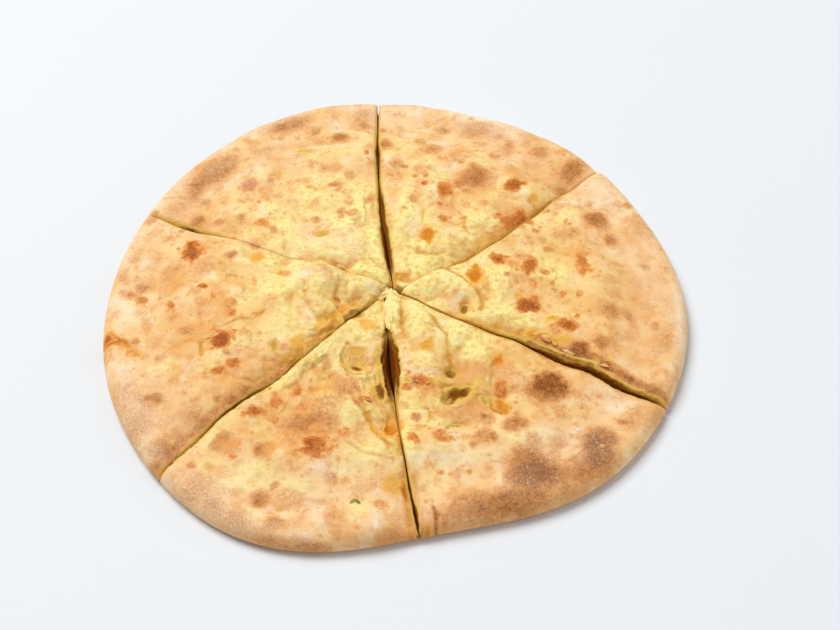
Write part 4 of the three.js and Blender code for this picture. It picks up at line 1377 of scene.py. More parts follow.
    @staticmethod
    def finish(
        piece: bpy.types.Object, material: bpy.types.Material, slot: str, nodes: tuple[str, ...], angle: float
    ) -> None:
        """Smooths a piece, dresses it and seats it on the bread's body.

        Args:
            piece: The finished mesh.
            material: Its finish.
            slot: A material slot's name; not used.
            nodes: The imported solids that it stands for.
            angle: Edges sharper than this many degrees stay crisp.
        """
        Bench.clear()
        bpy.context.view_layer.objects.active = piece
        piece.select_set(True)
        bpy.ops.object.shade_smooth_by_angle(angle=math.radians(angle))
        piece.data.materials.clear()
        piece.data.materials.append(material)
        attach(piece, "root")
        if nodes:
            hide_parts(*nodes)
        LOG.info("%s: %d faces", piece.name, len(piece.data.polygons))


# ---------------------------------------------------------------- finishes


@dataclass(frozen=True)
class Cloud:
    """A cloudy pattern: the size of its clouds in mm, its finer layers and their strength, and its shift in m."""

    pitch: float
    layers: float
    strength: float
    shift: float = 0.0


class Mixer:
    """Lays out a material's nodes."""

    def __init__(self, name: str) -> None:
        """Starts a material with its shader and the piece's own coordinates.

        Args:
            name: The material's name.
        """
        self.material = bpy.data.materials.new(name)
        self.material.use_nodes = True
        self.tree = self.material.node_tree
        self.shader = self.tree.nodes["Principled BSDF"]
        self.coordinates = self.tree.nodes.new("ShaderNodeTexCoord").outputs["Object"]

    def join(self, value: object, socket: Socket) -> None:
        """Links a socket to another, or sets a plain value on it.

        Args:
            value: The socket to link from, or the plain value.
            socket: The socket that takes it.
        """
        if isinstance(value, Socket):
            self.tree.links.new(value, socket)
        else:
            socket.default_value = value

    def attribute(self, which: Tone) -> Socket:
        """Reads how strongly a tone is baked into the surface.

        Args:
            which: The tone.

        Returns:
            Its strength, from 0 to 1.
        """
        node = self.tree.nodes.new("ShaderNodeAttribute")
        node.attribute_name = which.value
        return node.outputs["Fac"]

    def give(self, **inputs: object) -> None:
        """Sets or links inputs of the shader, each named as on the shader with _ for a space."""
        for name, value in inputs.items():
            self.join(value, self.shader.inputs[name.replace("_", " ")])

    def noise(self, cloud: Cloud) -> Socket:
        """Lays a cloudy pattern.

        Args:
            cloud: Its sizes and strengths.

        Returns:
            The pattern, from 0 to 1.
        """
        node, source = self.tree.nodes.new("ShaderNodeTexNoise"), self.coordinates
        if cloud.shift:
            moved = self.tree.nodes.new("ShaderNodeVectorMath")
            self.join(source, moved.inputs[0])
            moved.inputs[1].default_value = (cloud.shift,) * 3
            source = moved.outputs[0]
        self.join(source, node.inputs["Vector"])
        node.inputs["Scale"].default_value = 1 / (cloud.pitch * MM)
        node.inputs["Detail"].default_value = cloud.layers
        node.inputs["Roughness"].default_value = cloud.strength
        return node.outputs["Fac"]

    def math(self, operation: str, first: object, second: object = 0.0, third: object = 0.0) -> Socket:
        """A sum on numbers or sockets.

        Args:
            operation: The name of the sum.
            first: Its first number.
            second: Its second number.
            third: Its third number, where it has one.

        Returns:
            The result.
        """
        node = self.tree.nodes.new("ShaderNodeMath")
        node.operation = operation
        for value, socket in zip((first, second, third), node.inputs):
            self.join(value, socket)
        return node.outputs[0]

    def step(self, value: Socket, low: float, high: float, bottom: float = 0.0, top: float = 1.0) -> Socket:
        """A smooth step of a socket.

        Args:
            value: What is stepped.
            low: Where the step starts.
            high: Where it ends.
            bottom: The result below it.
            top: The result above it.

        Returns:
            The stepped value.
        """
        node = self.tree.nodes.new("ShaderNodeMapRange")
        node.interpolation_type = "SMOOTHSTEP"
        for place, number in enumerate((value, low, high, bottom, top)):
            self.join(number, node.inputs[place])
        return node.outputs[0]

    def blend(self, base: object, over: object, share: object) -> Socket:
        """Lays one colour over another.

        Args:
            base: The colour below.
            over: The colour on top.
            share: How much of it shows, from 0 to 1.

        Returns:
            The new colour.
        """
        node = self.tree.nodes.new("ShaderNodeMix")
        node.data_type = "RGBA"
        for value, place in ((share, 0), (base, 6), (over, 7)):
            self.join(value, node.inputs[place])
        return node.outputs[2]

    def bump(self, height: Socket, distance: float, strength: float) -> None:
        """Raises the surface's light by a height pattern.

        Args:
            height: The pattern.
            distance: How high it is from 0 to 1, mm.
            strength: How much of it shows.
        """
        node = self.tree.nodes.new("ShaderNodeBump")
        node.inputs["Distance"].default_value = distance * MM
        node.inputs["Strength"].default_value = strength
        self.join(height, node.inputs["Height"])
        self.give(Normal=node.outputs[0])

    def soften(self, weight: float, radius: tuple[float, float, float], scale: float) -> None:
        """Dulls the shine and lets light into the surface.

        Args:
            weight: How much of the light goes in.
            radius: How far its red, green and blue reach, as shares of the scale.
            scale: How far it reaches at most, mm.
        """
        self.give(Specular_IOR_Level=0.15, Subsurface_Weight=weight)
        self.give(Subsurface_Radius=radius, Subsurface_Scale=scale * MM)


@dataclass(frozen=True)
class Bake:
    """How one tone deepens: its colour at the edge, half way in and at its darkest."""

    which: Tone
    edge: Colour
    half: Colour
    core: Colour
    speck: float
    gritty: float = 2.8
    gritty_from: Span = (0.0, 0.35)
    edge_from: Span = (0.02, 0.35)
    half_from: Span = (0.25, 0.68)
    core_from: Span = (0.6, 1.05)


@dataclass(frozen=True)
class DoughFinish:
    """Baked dough: peach where it is plain, yellow over the cheese, with browned, oily and floury places, and painted
    shade in its dents, creases and cuts.
    """

    plain: Colour = tone(253, 214, 158)
    pale: Colour = tone(255, 240, 212)
    deep: Colour = tone(240, 178, 98)
    peach: Colour = tone(232, 162, 80)
    tan: Colour = tone(222, 148, 74)
    fleck: Colour = tone(204, 124, 50)
    rich: Colour = tone(255, 240, 162)
    butter: Colour = tone(242, 200, 92)
    # ochre for oil and for painted shade in dents, creases and on slopes turned from the light
    oily: Colour = tone(206, 140, 24)
    flour: Colour = tone(252, 228, 196)
    crumb: Colour = tone(238, 196, 98)
    # dark brown painted shade deep in the cuts, along their lips and in holes
    crumb_painted_shade: Colour = tone(134, 76, 4)
    under: Colour = tone(226, 176, 118)
    under_brown: Colour = tone(166, 104, 58)
    blotches: Cloud = Cloud(24, 3, 0.55)
    mottling: Cloud = Cloud(7.5, 4, 0.62, 0.31)
    paling: Cloud = Cloud(11, 4, 0.6, 0.91)
    flecks: Cloud = Cloud(2.4, 3, 0.6, 0.71)
    coarse_grit: Cloud = Cloud(2.6, 3, 0.65, 0.57)
    fine_grit: Cloud = Cloud(1.1, 2, 0.6, 0.43)
    dusting: Cloud = Cloud(0.8, 2, 0.7, 0.83)
    baked_under: Cloud = Cloud(16, 5, 0.65, 0.12)
    deep_from: Step = (0.36, 0.64, 0.1, 0.55)
    tan_from: Step = (0.46, 0.7, 0.0, 0.7)
    pale_from: Step = (0.5, 0.7, 0.0, 0.5)
    peach_from: Step = (0.35, 0.65, 0.75, 1.0)
    rich_from: Step = (0.4, 0.7, 1.0, 0.6)
    butter_from: Step = (0.46, 0.66, 0.0, 0.85)
    spots_from: Step = (0.55, 0.68, 0.0, 0.6)
    spots_in_mottle: Span = (0.36, 0.6)
    spots_over_cheese: Step = (0.2, 0.9, 1.0, 0.35)
    oil_and_shade_from: Span = (0.0, 0.9)
    oil_and_shade_flecks: Step = (0.3, 0.6, 0.65, 1.0)
    grain_strength: float = 0.3
    grains_from: Span = (0.6, 0.8)
    film_from: Span = (0.05, 0.7)
    film_grains: float = 0.36
    film_least: float = 0.14
    thick_from: Step = (0.75, 0.97, 0.0, 0.6)
    crumb_grit: Step = (0.35, 0.7, 0.0, 0.25)
    crumb_shaded: Span = (0.6, 1.0)
    crumb_from: Span = (0.0, 0.6)
    under_from: Span = (0.42, 0.68)
    roughness: float = 0.58
    gritty_rough: float = 0.12
    floury_rough: float = 0.35
    rougher: tuple[tuple[Tone, float], ...] = ((Tone.OIL_AND_SHADE, -0.2), (Tone.RICH, -0.1), (Tone.CRUMB_AND_SHADE, 0.4))
    floury_bump: float = 0.4
    bump_height: float = 0.9
    bump_strength: float = 0.5
    glow: float = 0.15
    glow_reach: tuple[float, float, float] = (1.0, 0.55, 0.25)
    glow_scale: float = 1.5
    bakes: tuple[Bake, ...] = (
        Bake(Tone.AMBER, tone(242, 184, 84), tone(222, 140, 34), tone(184, 96, 6), 0.3),
        Bake(Tone.BROWN, tone(232, 172, 108), tone(200, 132, 70), tone(138, 76, 26), 0.5),
        Bake(Tone.RUST, tone(236, 164, 92), tone(208, 126, 56), tone(164, 84, 26), 0.7),
    )

    def material(self) -> bpy.types.Material:
        """Lays out the finish.

        Returns:
            The finish as a material.
        """
        mixer = Mixer("baked_dough")
        grit = self.grit(mixer)
        colour = self.dough(mixer)
        for bake in self.bakes:
            colour = self.browning(mixer, colour, bake, grit)
        floury = self.floury(mixer)
        colour = mixer.blend(colour, self.flour, floury)
        # The crumb attribute carries torn crumb and painted shade; its top end blends to the dark brown painted shade.
        torn = mixer.attribute(Tone.CRUMB_AND_SHADE)
        shaded = mixer.math("ADD", mixer.step(grit, *self.crumb_grit), mixer.step(torn, *self.crumb_shaded))
        crumb = mixer.blend(self.crumb, self.crumb_painted_shade, shaded)
        colour = mixer.blend(colour, crumb, mixer.step(torn, *self.crumb_from))
        browned = mixer.step(mixer.noise(self.baked_under), *self.under_from)
        baked = mixer.blend(self.under, self.under_brown, browned)
        colour = mixer.blend(colour, baked, mixer.attribute(Tone.UNDER))
        rough = mixer.math("MULTIPLY_ADD", floury, self.floury_rough, self.roughness)
        rough = mixer.math("MULTIPLY_ADD", grit, self.gritty_rough, rough)
        for which, more in self.rougher:
            rough = mixer.math("MULTIPLY_ADD", mixer.attribute(which), more, rough)
        mixer.give(Base_Color=colour, Roughness=rough)
        mixer.bump(mixer.math("MULTIPLY_ADD", floury, self.floury_bump, grit), self.bump_height, self.bump_strength)
        mixer.soften(self.glow, self.glow_reach, self.glow_scale)
        return mixer.material

    def floury(self, mixer: Mixer) -> Socket:
        """Sifts the flour: a thin film with grains in it, and thick where it lies deepest.

        Args:
            mixer: The material's nodes.

        Returns:
            How much flour covers each place.
        """
        flour = mixer.attribute(Tone.FLOUR)
        grains = mixer.math("MULTIPLY_ADD", flour, self.grain_strength, mixer.noise(self.dusting))
        grains = mixer.step(grains, *self.grains_from)
        film = mixer.math("MULTIPLY_ADD", grains, self.film_grains, self.film_least)
        thin = mixer.math("MULTIPLY", mixer.step(flour, *self.film_from), film)
        return mixer.math("ADD", thin, mixer.step(flour, *self.thick_from))

    def grit(self, mixer: Mixer) -> Socket:
        """The fine grain that breaks up every baked place, from 0 to 1."""
        coarse, fine = mixer.noise(self.coarse_grit), mixer.noise(self.fine_grit)
        return mixer.math("ADD", mixer.math("MULTIPLY", coarse, 0.5), mixer.math("MULTIPLY", fine, 0.5))

    def dough(self, mixer: Mixer) -> Socket:
        """The colour of the dough before it browns.

        Args:
            mixer: The material's nodes.

        Returns:
            Peach with tan mottling, yellow over the cheese, and ochre for oil and for painted shade in dents, creases
            and on slopes turned from the light.
        """
        mottle, flecks = mixer.noise(self.mottling), mixer.noise(self.flecks)
        peach, rich = mixer.attribute(Tone.PEACH), mixer.attribute(Tone.RICH)
        blotches, paling = mixer.noise(self.blotches), mixer.noise(self.paling)
        oily = mixer.step(mixer.attribute(Tone.OIL_AND_SHADE), *self.oil_and_shade_from)
        spotty = mixer.step(rich, *self.spots_over_cheese)
        spotty = mixer.math("MULTIPLY", mixer.step(mottle, *self.spots_in_mottle), spotty)
        colour = self.plain
        for over, share, pattern, span in (
            (self.deep, 1.0, blotches, self.deep_from),
            (self.tan, 1.0, mottle, self.tan_from),
            (self.pale, 1.0, paling, self.pale_from),
            (self.peach, peach, mottle, self.peach_from),
            (self.rich, rich, mottle, self.rich_from),
            (self.butter, rich, flecks, self.butter_from),
            (self.fleck, spotty, flecks, self.spots_from),
            (self.oily, oily, flecks, self.oil_and_shade_flecks),
        ):
            colour = mixer.blend(colour, over, mixer.math("MULTIPLY", share, mixer.step(pattern, *span)))
        return colour

    @staticmethod
    def browning(mixer: Mixer, base: Socket, bake: Bake, grit: Socket) -> Socket:
        """One tone over a colour, deeper towards its middle and broken up by grit.

        Args:
            mixer: The material's nodes.
            base: The colour below.
            bake: The tone.
            grit: The fine pattern that breaks it up.

        Returns:
            The new colour.
        """
        share = mixer.attribute(bake.which)
        speckled = bake.gritty * bake.speck
        broken = mixer.math("MULTIPLY_ADD", grit, speckled, -speckled / 2)
        depth = mixer.math("MULTIPLY_ADD", broken, mixer.step(share, *bake.gritty_from), share)
        for over, span in ((bake.edge, bake.edge_from), (bake.half, bake.half_from), (bake.core, bake.core_from)):
            base = mixer.blend(base, over, mixer.step(depth, *span))
        return base


@dataclass(frozen=True)
class CheeseFinish:
    """Melted curd: pale yellow, glossy with butter, with darker pores and dark brown painted shade where it lies deep
    in a wide gap.
    """

    plain: Colour = tone(246, 216, 132)
    deep: Colour = tone(212, 160, 66)
    shaded: Colour = tone(124, 62, 0)
    curd: Cloud = Cloud(3.0, 3, 0.6)
    pores: Cloud = Cloud(0.9, 2, 0.5, 0.4)
    deep_from: Span = (0.45, 0.75)
    rough_pores: Step = (0.3, 0.7, 0.55, 0.75)
    pore_bump: float = 0.4
    bump_height: float = 0.5
    bump_strength: float = 0.6
    glow: float = 0.35
    glow_reach: tuple[float, float, float] = (1.0, 0.7, 0.35)
    glow_scale: float = 3.0

    def material(self) -> bpy.types.Material:
        """Lays out the finish.

        Returns:
            The finish as a material.
        """
        mixer = Mixer("melted_cheese")
        curd, pores = mixer.noise(self.curd), mixer.noise(self.pores)
        colour = mixer.blend(self.plain, self.deep, mixer.step(curd, *self.deep_from))
        # painted shade where the cheese lies deep in a wide gap
        colour = mixer.blend(colour, self.shaded, mixer.attribute(Tone.CRUMB_AND_SHADE))
        mixer.give(Base_Color=colour, Roughness=mixer.step(pores, *self.rough_pores))
        mixer.bump(mixer.math("MULTIPLY_ADD", pores, self.pore_bump, curd), self.bump_height, self.bump_strength)
        mixer.soften(self.glow, self.glow_reach, self.glow_scale)
        return mixer.material


@dataclass(frozen=True)
class DustFinish:
    """A dry finish of two close colours, for flour or a dried herb."""

    name: str
    light: Colour
    dark: Colour
    pitch: float
    dark_from: Span = (0.35, 0.65)
    rough: Step = (0.3, 0.7, 0.7, 0.95)
    bump_height: float = 0.2
    bump_strength: float = 0.5

    def material(self) -> bpy.types.Material:
        """Lays out the finish.

        Returns:
            The finish as a material.
        """
        mixer = Mixer(self.name)
        cloud = mixer.noise(Cloud(self.pitch, 3, 0.6))
        colour = mixer.blend(self.light, self.dark, mixer.step(cloud, *self.dark_from))
        mixer.give(Base_Color=colour, Roughness=mixer.step(cloud, *self.rough))
        mixer.bump(cloud, self.bump_height, self.bump_strength)
        return mixer.material


# ---------------------------------------------------------------- the pieces


@dataclass
class DoughSlice:
    """The dough of one slice: its top, rounded rim, underside and the two walls that the knife left."""

    form: SliceForm
    crust: Crust
    columns: int = 168
    under_columns: int = 6
    top_rows: int = 300
    round_rows: int = 12
    tuck_rows: int = 6
    base_rows: int = 24
    walls: int = 6
    crowding: float = 0.55
    lip_round: float = 2.3
    opens: Span = (15.0, 70.0)
    tip_round: float = 0.9
    crumb_depth: float = 0.5
    topside_ends: float = 0.3
    relief_lip: Span = (-1.0, 2.5)
    tip_sharper: float = 0.45
    tight_sharper: float = 0.5
    tight_gaps: Span = (0.3, 1.4)
    # ochre on the slopes that roll into the cuts and along their lips: partly oil, partly painted shade
    rolled_oil_and_shade: float = 0.1
    most_rolled_oil_and_shade: float = 0.6
    lip_shade: float = 0.75
    lip_reach: float = 2.2
    full_roll: float = 3.0
    least_roll: float = 0.12
    # dark brown painted shade along the cuts' lips and down their faces
    cut_shade_reach: float = 1.1
    cut_shade_ragged: float = 0.4
    shade_later: float = 2.5
    wide_gaps: Span = (0.9, 2.6)
    shade_over: float = 1.5
    shade_slower: float = 0.6
    torn_starts: Span = (0.02, 0.2)
    torn_least: float = 0.6
    tear_pitches: tuple[float, float] = (5.0, 1.8)
    tear_shares: tuple[float, float] = (0.6, 0.4)
    full_tear_gap: float = 1.4
    least_tear: float = 0.2
    crumb_pitches: tuple[float, float] = (1.6, 4.0)
    crumb_drop: float = 6.0
    crisp: float = 55.0

    def build(self, material: bpy.types.Material) -> bpy.types.Object:
        """Models the slice.

        Args:
            material: The dough's finish.

        Returns:
            The finished piece.
        """
        rows = self.top_rows + self.round_rows + self.tuck_rows + self.base_rows
        piece = Bench.block(f"crust_{self.form.name}", self.columns, rows, self.under_columns, self.walls)
        even, row, deep = Bench.places(piece).T
        row, deep = row * rows, np.clip(-deep, 0, 1)
        across = even - self.crowding * np.sin(math.tau * even) / math.tau
        outer = self.outside(across, row, deep)
        inner = self.pocket(across, row)
        Bench.shape(piece, *(mix(o, i, deep) for o, i in zip(outer[:3], inner)))
        Bench.paint(piece, outer[3])
        Bench.finish(piece, material, "dough", (f"dough_{self.form.name}",), self.crisp)
        return piece

    def walk(self, row: Array) -> tuple[Array, Array, Array, Array]:
        """Where rows lie on the way over the top, round the rim and back under the slice.

        Args:
            row: Row numbers from the tip's top.

        Returns:
            Shares of the way over the top, round the upper rim, round the lower rim and along the base.
        """
        starts = np.cumsum((0, self.top_rows, self.round_rows, self.tuck_rows))
        lengths = (self.top_rows, self.round_rows, self.tuck_rows, self.base_rows)
        return tuple(np.clip((row - start) / length, 0, 1) for start, length in zip(starts, lengths))

    def outside(self, across: Array, row: Array, deep: Array) -> tuple[Array, Array, Array, dict[Tone, Array]]:
        """The outer surface.

        Args:
            across: 0 at the first cut and 1 at the second.
            row: Row numbers from the tip's top.
            deep: 0 on the outer surface and 1 on the pocket's, between them on the walls.

        Returns:
            x, y and z in mm, and how each place is baked, with painted shade along the cuts.
        """
        form, bread = self.form, self.form.bread
        top, upper, lower, base = self.walk(row)
        crest = 1 - bread.edge_round / bread.radius
        foot = 1 - bread.edge_undercut / bread.radius
        angle, tuck = upper * math.pi / 2, lower * math.pi / 2
        out = crest * top
        out = np.where(upper > 0, 1 - bread.edge_round * (1 - np.sin(angle)) / bread.radius, out)
        out = np.where(lower > 0, 1 - bread.edge_undercut * (1 - np.cos(tuck)) / bread.radius, out)
        out = np.where(base > 0, foot * (1 - base), out)
        distance = out * bread.radius
        plan_x, plan_y, width = form.plan(across, out)
        topside = 1 - smoothstep(upper, self.topside_ends, 1)
        rise, baked = self.crust.read(plan_x, plan_y, form.filled(out))
        lip = np.minimum(across * width, (1 - across) * width)
        rise = rise * smoothstep(lip, *self.relief_lip) * topside
        full = form.top_height(across, np.minimum(out, crest))
        gap = form.nearer(across, lambda cut: cut.gap(distance))
        lip_round = self.lip_round * mix(self.tip_sharper, 1.0, smoothstep(distance, *self.opens))
        lip_round = lip_round * mix(self.tight_sharper, 1.0, smoothstep(gap, *self.tight_gaps))
        height = full + rise - self.rounding(lip, lip_round) - self.rounding(distance, self.tip_round)
        z = mix(bread.edge_middle, height, np.cos(angle))
        z = np.where(lower > 0, bread.edge_middle * (1 - np.sin(tuck)), z)
        z = np.where(base > 0, 0.0, z)
        wall, depth = np.sin(math.pi * deep), full - z
        first = self.knife(form.first, distance, deep, wall, 1) + form.first.shut(distance, depth)
        second = self.knife(form.second, distance, deep, wall, 2) + form.second.shut(distance, depth)
        x, y, _ = form.plan(across, out, first, second)
        underneath = np.where(base > 0, 1.0, smoothstep(lower, 0.0, 1.0))
        # Ochre on the rolled slopes and along the lips, partly oil and partly painted shade.
        rolled = form.rolled(across, width) * topside
        lip_shading = self.lip_shade * bell(lip, self.lip_reach) * np.clip(rolled / self.full_roll, self.least_roll, 1)
        oily_shade = np.clip(self.rolled_oil_and_shade * (rolled * form.filled(out)), 0, self.most_rolled_oil_and_shade)
        baked[Tone.OIL_AND_SHADE] = 1 - (1 - baked[Tone.OIL_AND_SHADE]) * (1 - oily_shade) * (1 - lip_shading)
        baked[Tone.UNDER] = underneath
        # Painted shade down the cut faces, starting deeper where the gap is narrow, and a dark brown painted shade line
        # along each lip.
        dark_from = form.nearer(across, lambda cut: cut.dark_from)
        dark_from = dark_from + self.shade_later * (1 - smoothstep(gap, *self.wide_gaps))
        dark = smoothstep(depth, dark_from, dark_from + self.shade_over + self.shade_slower * gap)
        cut_shade = form.nearer(across, lambda cut: cut.cut_shade_at(distance))
        torn = smoothstep(deep, *self.torn_starts) * mix(self.torn_least, 1.0, np.maximum(dark, cut_shade))
        reach = self.cut_shade_reach * (1 + self.cut_shade_ragged * Grain(73, 5.0).at(plan_x, plan_y))
        cut_shade = cut_shade * bell(lip, reach)
        baked[Tone.CRUMB_AND_SHADE] = np.maximum(np.maximum(baked[Tone.CRUMB_AND_SHADE], cut_shade) * topside, torn)
        return x, y, z, baked

    def knife(self, cut: Cut, distance: Array, deep: Array, wall: Array, side: int) -> Array:
        """How far the torn crumb of a cut face stands back from the knife's line, mm.

        Args:
            cut: The cut.
            distance: How far out, mm.
            deep: 0 at the crust and 1 at the pocket.
            wall: How far inside a wall a place lies, 0 at its edges.
            side: 1 for the first cut and 2 for the second.

        Returns:
            The setback.
        """
        (long, short), (most, rest), (fine, coarse) = self.tear_pitches, self.tear_shares, self.crumb_pitches
        torn = most * Grain(40 + side, long).at(distance, 0 * distance)
        torn = torn + rest * Grain(45 + side, short).at(distance, deep)
        lip = cut.ragged * np.clip(cut.gap(distance) / self.full_tear_gap, self.least_tear, 1) * (1 + torn) / 2
        down = deep * self.crumb_drop
        crumb = Grain(50 + side, fine).at(distance, down) + Grain(60 + side, coarse).at(distance, down)
        return lip + self.crumb_depth * wall * (0.5 + 0.5 * crumb)

    @staticmethod
    def rounding(distance: Array, radius: float) -> Array:
        """How much a rounded edge lowers the surface at a distance from it, mm."""
        inside = np.clip(radius - distance, 0, radius)
        return radius - np.sqrt(np.maximum(radius * radius - inside * inside, 0))

    def pocket(self, across: Array, row: Array) -> tuple[Array, Array, Array]:
        """The inner surface that lies round the cheese.

        Args:
            across: 0 at the first cut and 1 at the second.
            row: Row numbers from the tip's top.

        Returns:
            x, y and z in mm.
        """
        form, bread = self.form, self.form.bread
        top, upper, lower, base = self.walk(row)
        reach = bread.cheese_share + bread.clearance / bread.radius
        out = reach * top * (1 - base)
        ceiling = form.cheese_height(across, out * bread.cheese_share / reach) + bread.clearance
        floor = bread.base_dough - bread.clearance
        z = np.where(base > 0, floor, mix(ceiling, floor, (upper + lower) / 2))
        depth = form.top_height(across, out) - z
        first, second = (cut.shut(out * bread.radius, depth) for cut in (form.first, form.second))
        x, y, _ = form.plan(across, out, first, second)
        return x, y, z


@dataclass
class CheeseLayer:
    """The melted cheese of one slice, which shows at its cuts."""

    form: SliceForm
    columns: int = 60
    rows: int = 130
    walls: int = 9
    curd_pitch: float = 2.6
    curd_height: float = 0.05
    stuck_reach: float = 2.5
    stuck: float = 0.1
    shaded_gaps: Span = (1.2, 3.0)
    shaded_depths: Span = (0.5, 3.0)
    curd_drop: float = 10.0
    crisp: float = 60.0

    def build(self, material: bpy.types.Material) -> bpy.types.Object:
        """Models the layer.

        Args:
            material: The cheese's finish.

        Returns:
            The finished piece.
        """
        form, bread = self.form, self.form.bread
        piece = Bench.block(f"curd_{form.name}", self.columns, self.rows, self.columns, self.walls)
        across, row, deep = Bench.places(piece).T
        deep = np.clip(-deep, 0, 1)
        out = row * bread.cheese_share
        distance = out * bread.radius
        _, _, width = form.plan(across, out)
        near = bell(np.minimum(across, 1 - across) * width, self.stuck_reach)
        z = mix(form.cheese_height(across, out) + (bread.clearance + self.stuck) * near, bread.base_dough, deep)
        depth = form.top_height(across, out) - z
        melt = [self.melt(cut, distance, deep, depth) for cut in (form.first, form.second)]
        x, y, _ = form.plan(across, out, *melt)
        gap = form.nearer(across, lambda cut: cut.gap(distance))
        # Painted shade: the cheese darkens where it lies deep in a wide gap.
        shaded = smoothstep(gap, *self.shaded_gaps) * smoothstep(depth, *self.shaded_depths)
        Bench.shape(piece, x, y, z)
        Bench.paint(piece, {Tone.CRUMB_AND_SHADE: shaded * near})
        Bench.finish(piece, material, "cheese", (f"cheese_{form.name}",), self.crisp)
        return piece

    def melt(self, cut: Cut, distance: Array, deep: Array, depth: Array) -> Array:
        """How far the melted face stands back from the knife's line, mm.

        Args:
            cut: The cut.
            distance: How far out, mm.
            deep: 0 at the layer's top and 1 at its base.
            depth: How far below the slice's lip, mm.

        Returns:
            The setback, which is below 0 where the cheese has run into the gap.
        """
        curd = Grain(int(cut.heading) + 90, self.curd_pitch).at(distance, deep * self.curd_drop)
        return cut.shut(distance, depth) + self.curd_height * np.sin(math.pi * deep) * (0.5 + 0.5 * curd)


# ---------------------------------------------------------------- small things on top


class Ground:
    """The finished tops of the slices, for laying small things on."""

    LOWEST_TOP = 7.0

    def __init__(self, pieces: list[bpy.types.Object]) -> None:
        """Collects the upper points of the pieces.

        Args:
            pieces: The slices' finished dough.
        """
        points = np.concatenate([Bench.places(piece) for piece in pieces]) / MM
        points -= (*FRAME_SHIFT, 0)
        self.points = points[points[:, 2] > self.LOWEST_TOP]

    def height(self, x: float, y: float) -> float:
        """Height of the top at a plan point, mm."""
        near = np.argmin(np.square(self.points[:, 0] - x) + np.square(self.points[:, 1] - y))
        return float(self.points[near, 2])


@dataclass(frozen=True)
class Flake:
    """A thin flake that lies on the crust with its ends curled up."""

    x: float
    y: float
    length: float
    width: float
    turn: float
    curl: float
    tone: Tone
    strength: float


CRUST_FLAKES = (
    # along the right slice's front cut
    Flake(71, -28.5, 6.0, 2.6, 12, 0.25, Tone.AMBER, 0.5), Flake(75.5, -31.5, 7.0, 3.4, -38, 0.25, Tone.BROWN, 0.9),
    Flake(80, -33.5, 5.0, 2.8, -70, 0.25, Tone.AMBER, 0.6), Flake(87, -38.5, 7.0, 3.0, -26, 0.2, Tone.OIL_AND_SHADE, 0.7),
    Flake(103, -46.5, 7.0, 2.6, -25, 0.15, Tone.OIL_AND_SHADE, 0.8),
    # the front right slice's torn blisters
    Flake(44, -68.5, 8.0, 2.6, -44, 0.3, Tone.OIL_AND_SHADE, 0.8), Flake(50, -74, 6.5, 2.8, -36, 0.3, Tone.AMBER, 0.8),
    Flake(56, -74.5, 4.5, 2.0, 58, 0.3, Tone.AMBER, 0.6), Flake(34, -82, 6.0, 2.0, 8, 0.3, Tone.OIL_AND_SHADE, 0.6),
    Flake(12, -58.5, 4.5, 2.6, -14, 0.2, Tone.RUST, 1.0), Flake(17, -60, 3.4, 1.8, 30, 0.2, Tone.RUST, 0.8),
    # the left slices' blisters
    Flake(-13, -69.5, 6.0, 2.2, -22, 0.2, Tone.RUST, 0.8), Flake(-90, -30, 6.0, 2.0, 30, 0.25, Tone.OIL_AND_SHADE, 0.6),
    Flake(-73, -19, 5.5, 1.8, 12, 0.25, Tone.OIL_AND_SHADE, 0.5),
)

HERB = (
    Flake(-18.3, -125.0, 3.6, 1.5, 38, 0.2, Tone.UNDER, 0.0), Flake(-15.9, -125.2, 3.2, 1.4, 138, 0.3, Tone.UNDER, 0.0),
)


@dataclass
class FlakeBed:
    """A strewing of flakes, made as one piece."""

    name: str
    flakes: tuple[Flake, ...]
    columns: int = 8
    rows: int = 5
    thickness: float = 0.35
    ragged: float = 0.22
    ragged_pitch: float = 1.3
    palest: float = 0.55
    end_curl: float = 0.7
    side_curl: float = 0.5
    sunk: float = 0.25
    crisp: float = 50.0

    def build(self, ground: Ground, material: bpy.types.Material) -> bpy.types.Object:
        """Models the flakes.

        Args:
            ground: The tops that they lie on.
            material: Their finish.

        Returns:
            The finished piece.
        """
        bed = Bench.cluster(self.name, (
            partial(
                bpy.ops.mesh.primitive_grid_add,
                x_subdivisions=self.columns, y_subdivisions=self.rows, size=1, location=(2 * k, 0, 0),
            )
            for k in range(len(self.flakes))
        ))
        across, along, _ = Bench.places(bed).T
        which = np.round(across / 2).astype(int)
        u, v = 2 * (across - 2 * which), 2 * along
        x, y, length, width, turn, curl = (
            np.array([getattr(flake, size) for flake in self.flakes])[which]
            for size in ("x", "y", "length", "width", "turn", "curl")
        )
        base = np.array([ground.height(flake.x, flake.y) for flake in self.flakes])[which]
        edge = 1 + self.ragged * Grain(91, self.ragged_pitch).at(3 * u + 9 * which, 3 * v)
        right, ahead = u * np.sqrt(1 - v * v / 2) * edge, v * np.sqrt(1 - u * u / 2) * edge
        dx, dy = turned(right * length / 2, ahead * width / 2, turn)
        x, y = x + dx, y + dy
        z = base + curl * (self.end_curl * right**2 + self.side_curl * np.abs(ahead) ** 3 - self.sunk)
        Bench.shape(bed, x, y, z)
        baked = {each: np.zeros_like(x) for each in Tone}
        for k, flake in enumerate(self.flakes):
            strength = flake.strength * mix(self.palest, 1.0, v * v)
            baked[flake.tone] = np.where(which == k, strength, baked[flake.tone])
        Bench.paint(bed, baked)
        bpy.ops.object.modifier_add(type="SOLIDIFY")
        bed.modifiers[-1].thickness = self.thickness * MM
        bed.modifiers[-1].offset = 0
        bpy.ops.object.modifier_apply(modifier=bed.modifiers[-1].name)
        Bench.finish(bed, material, "dough", (), self.crisp)
        return bed


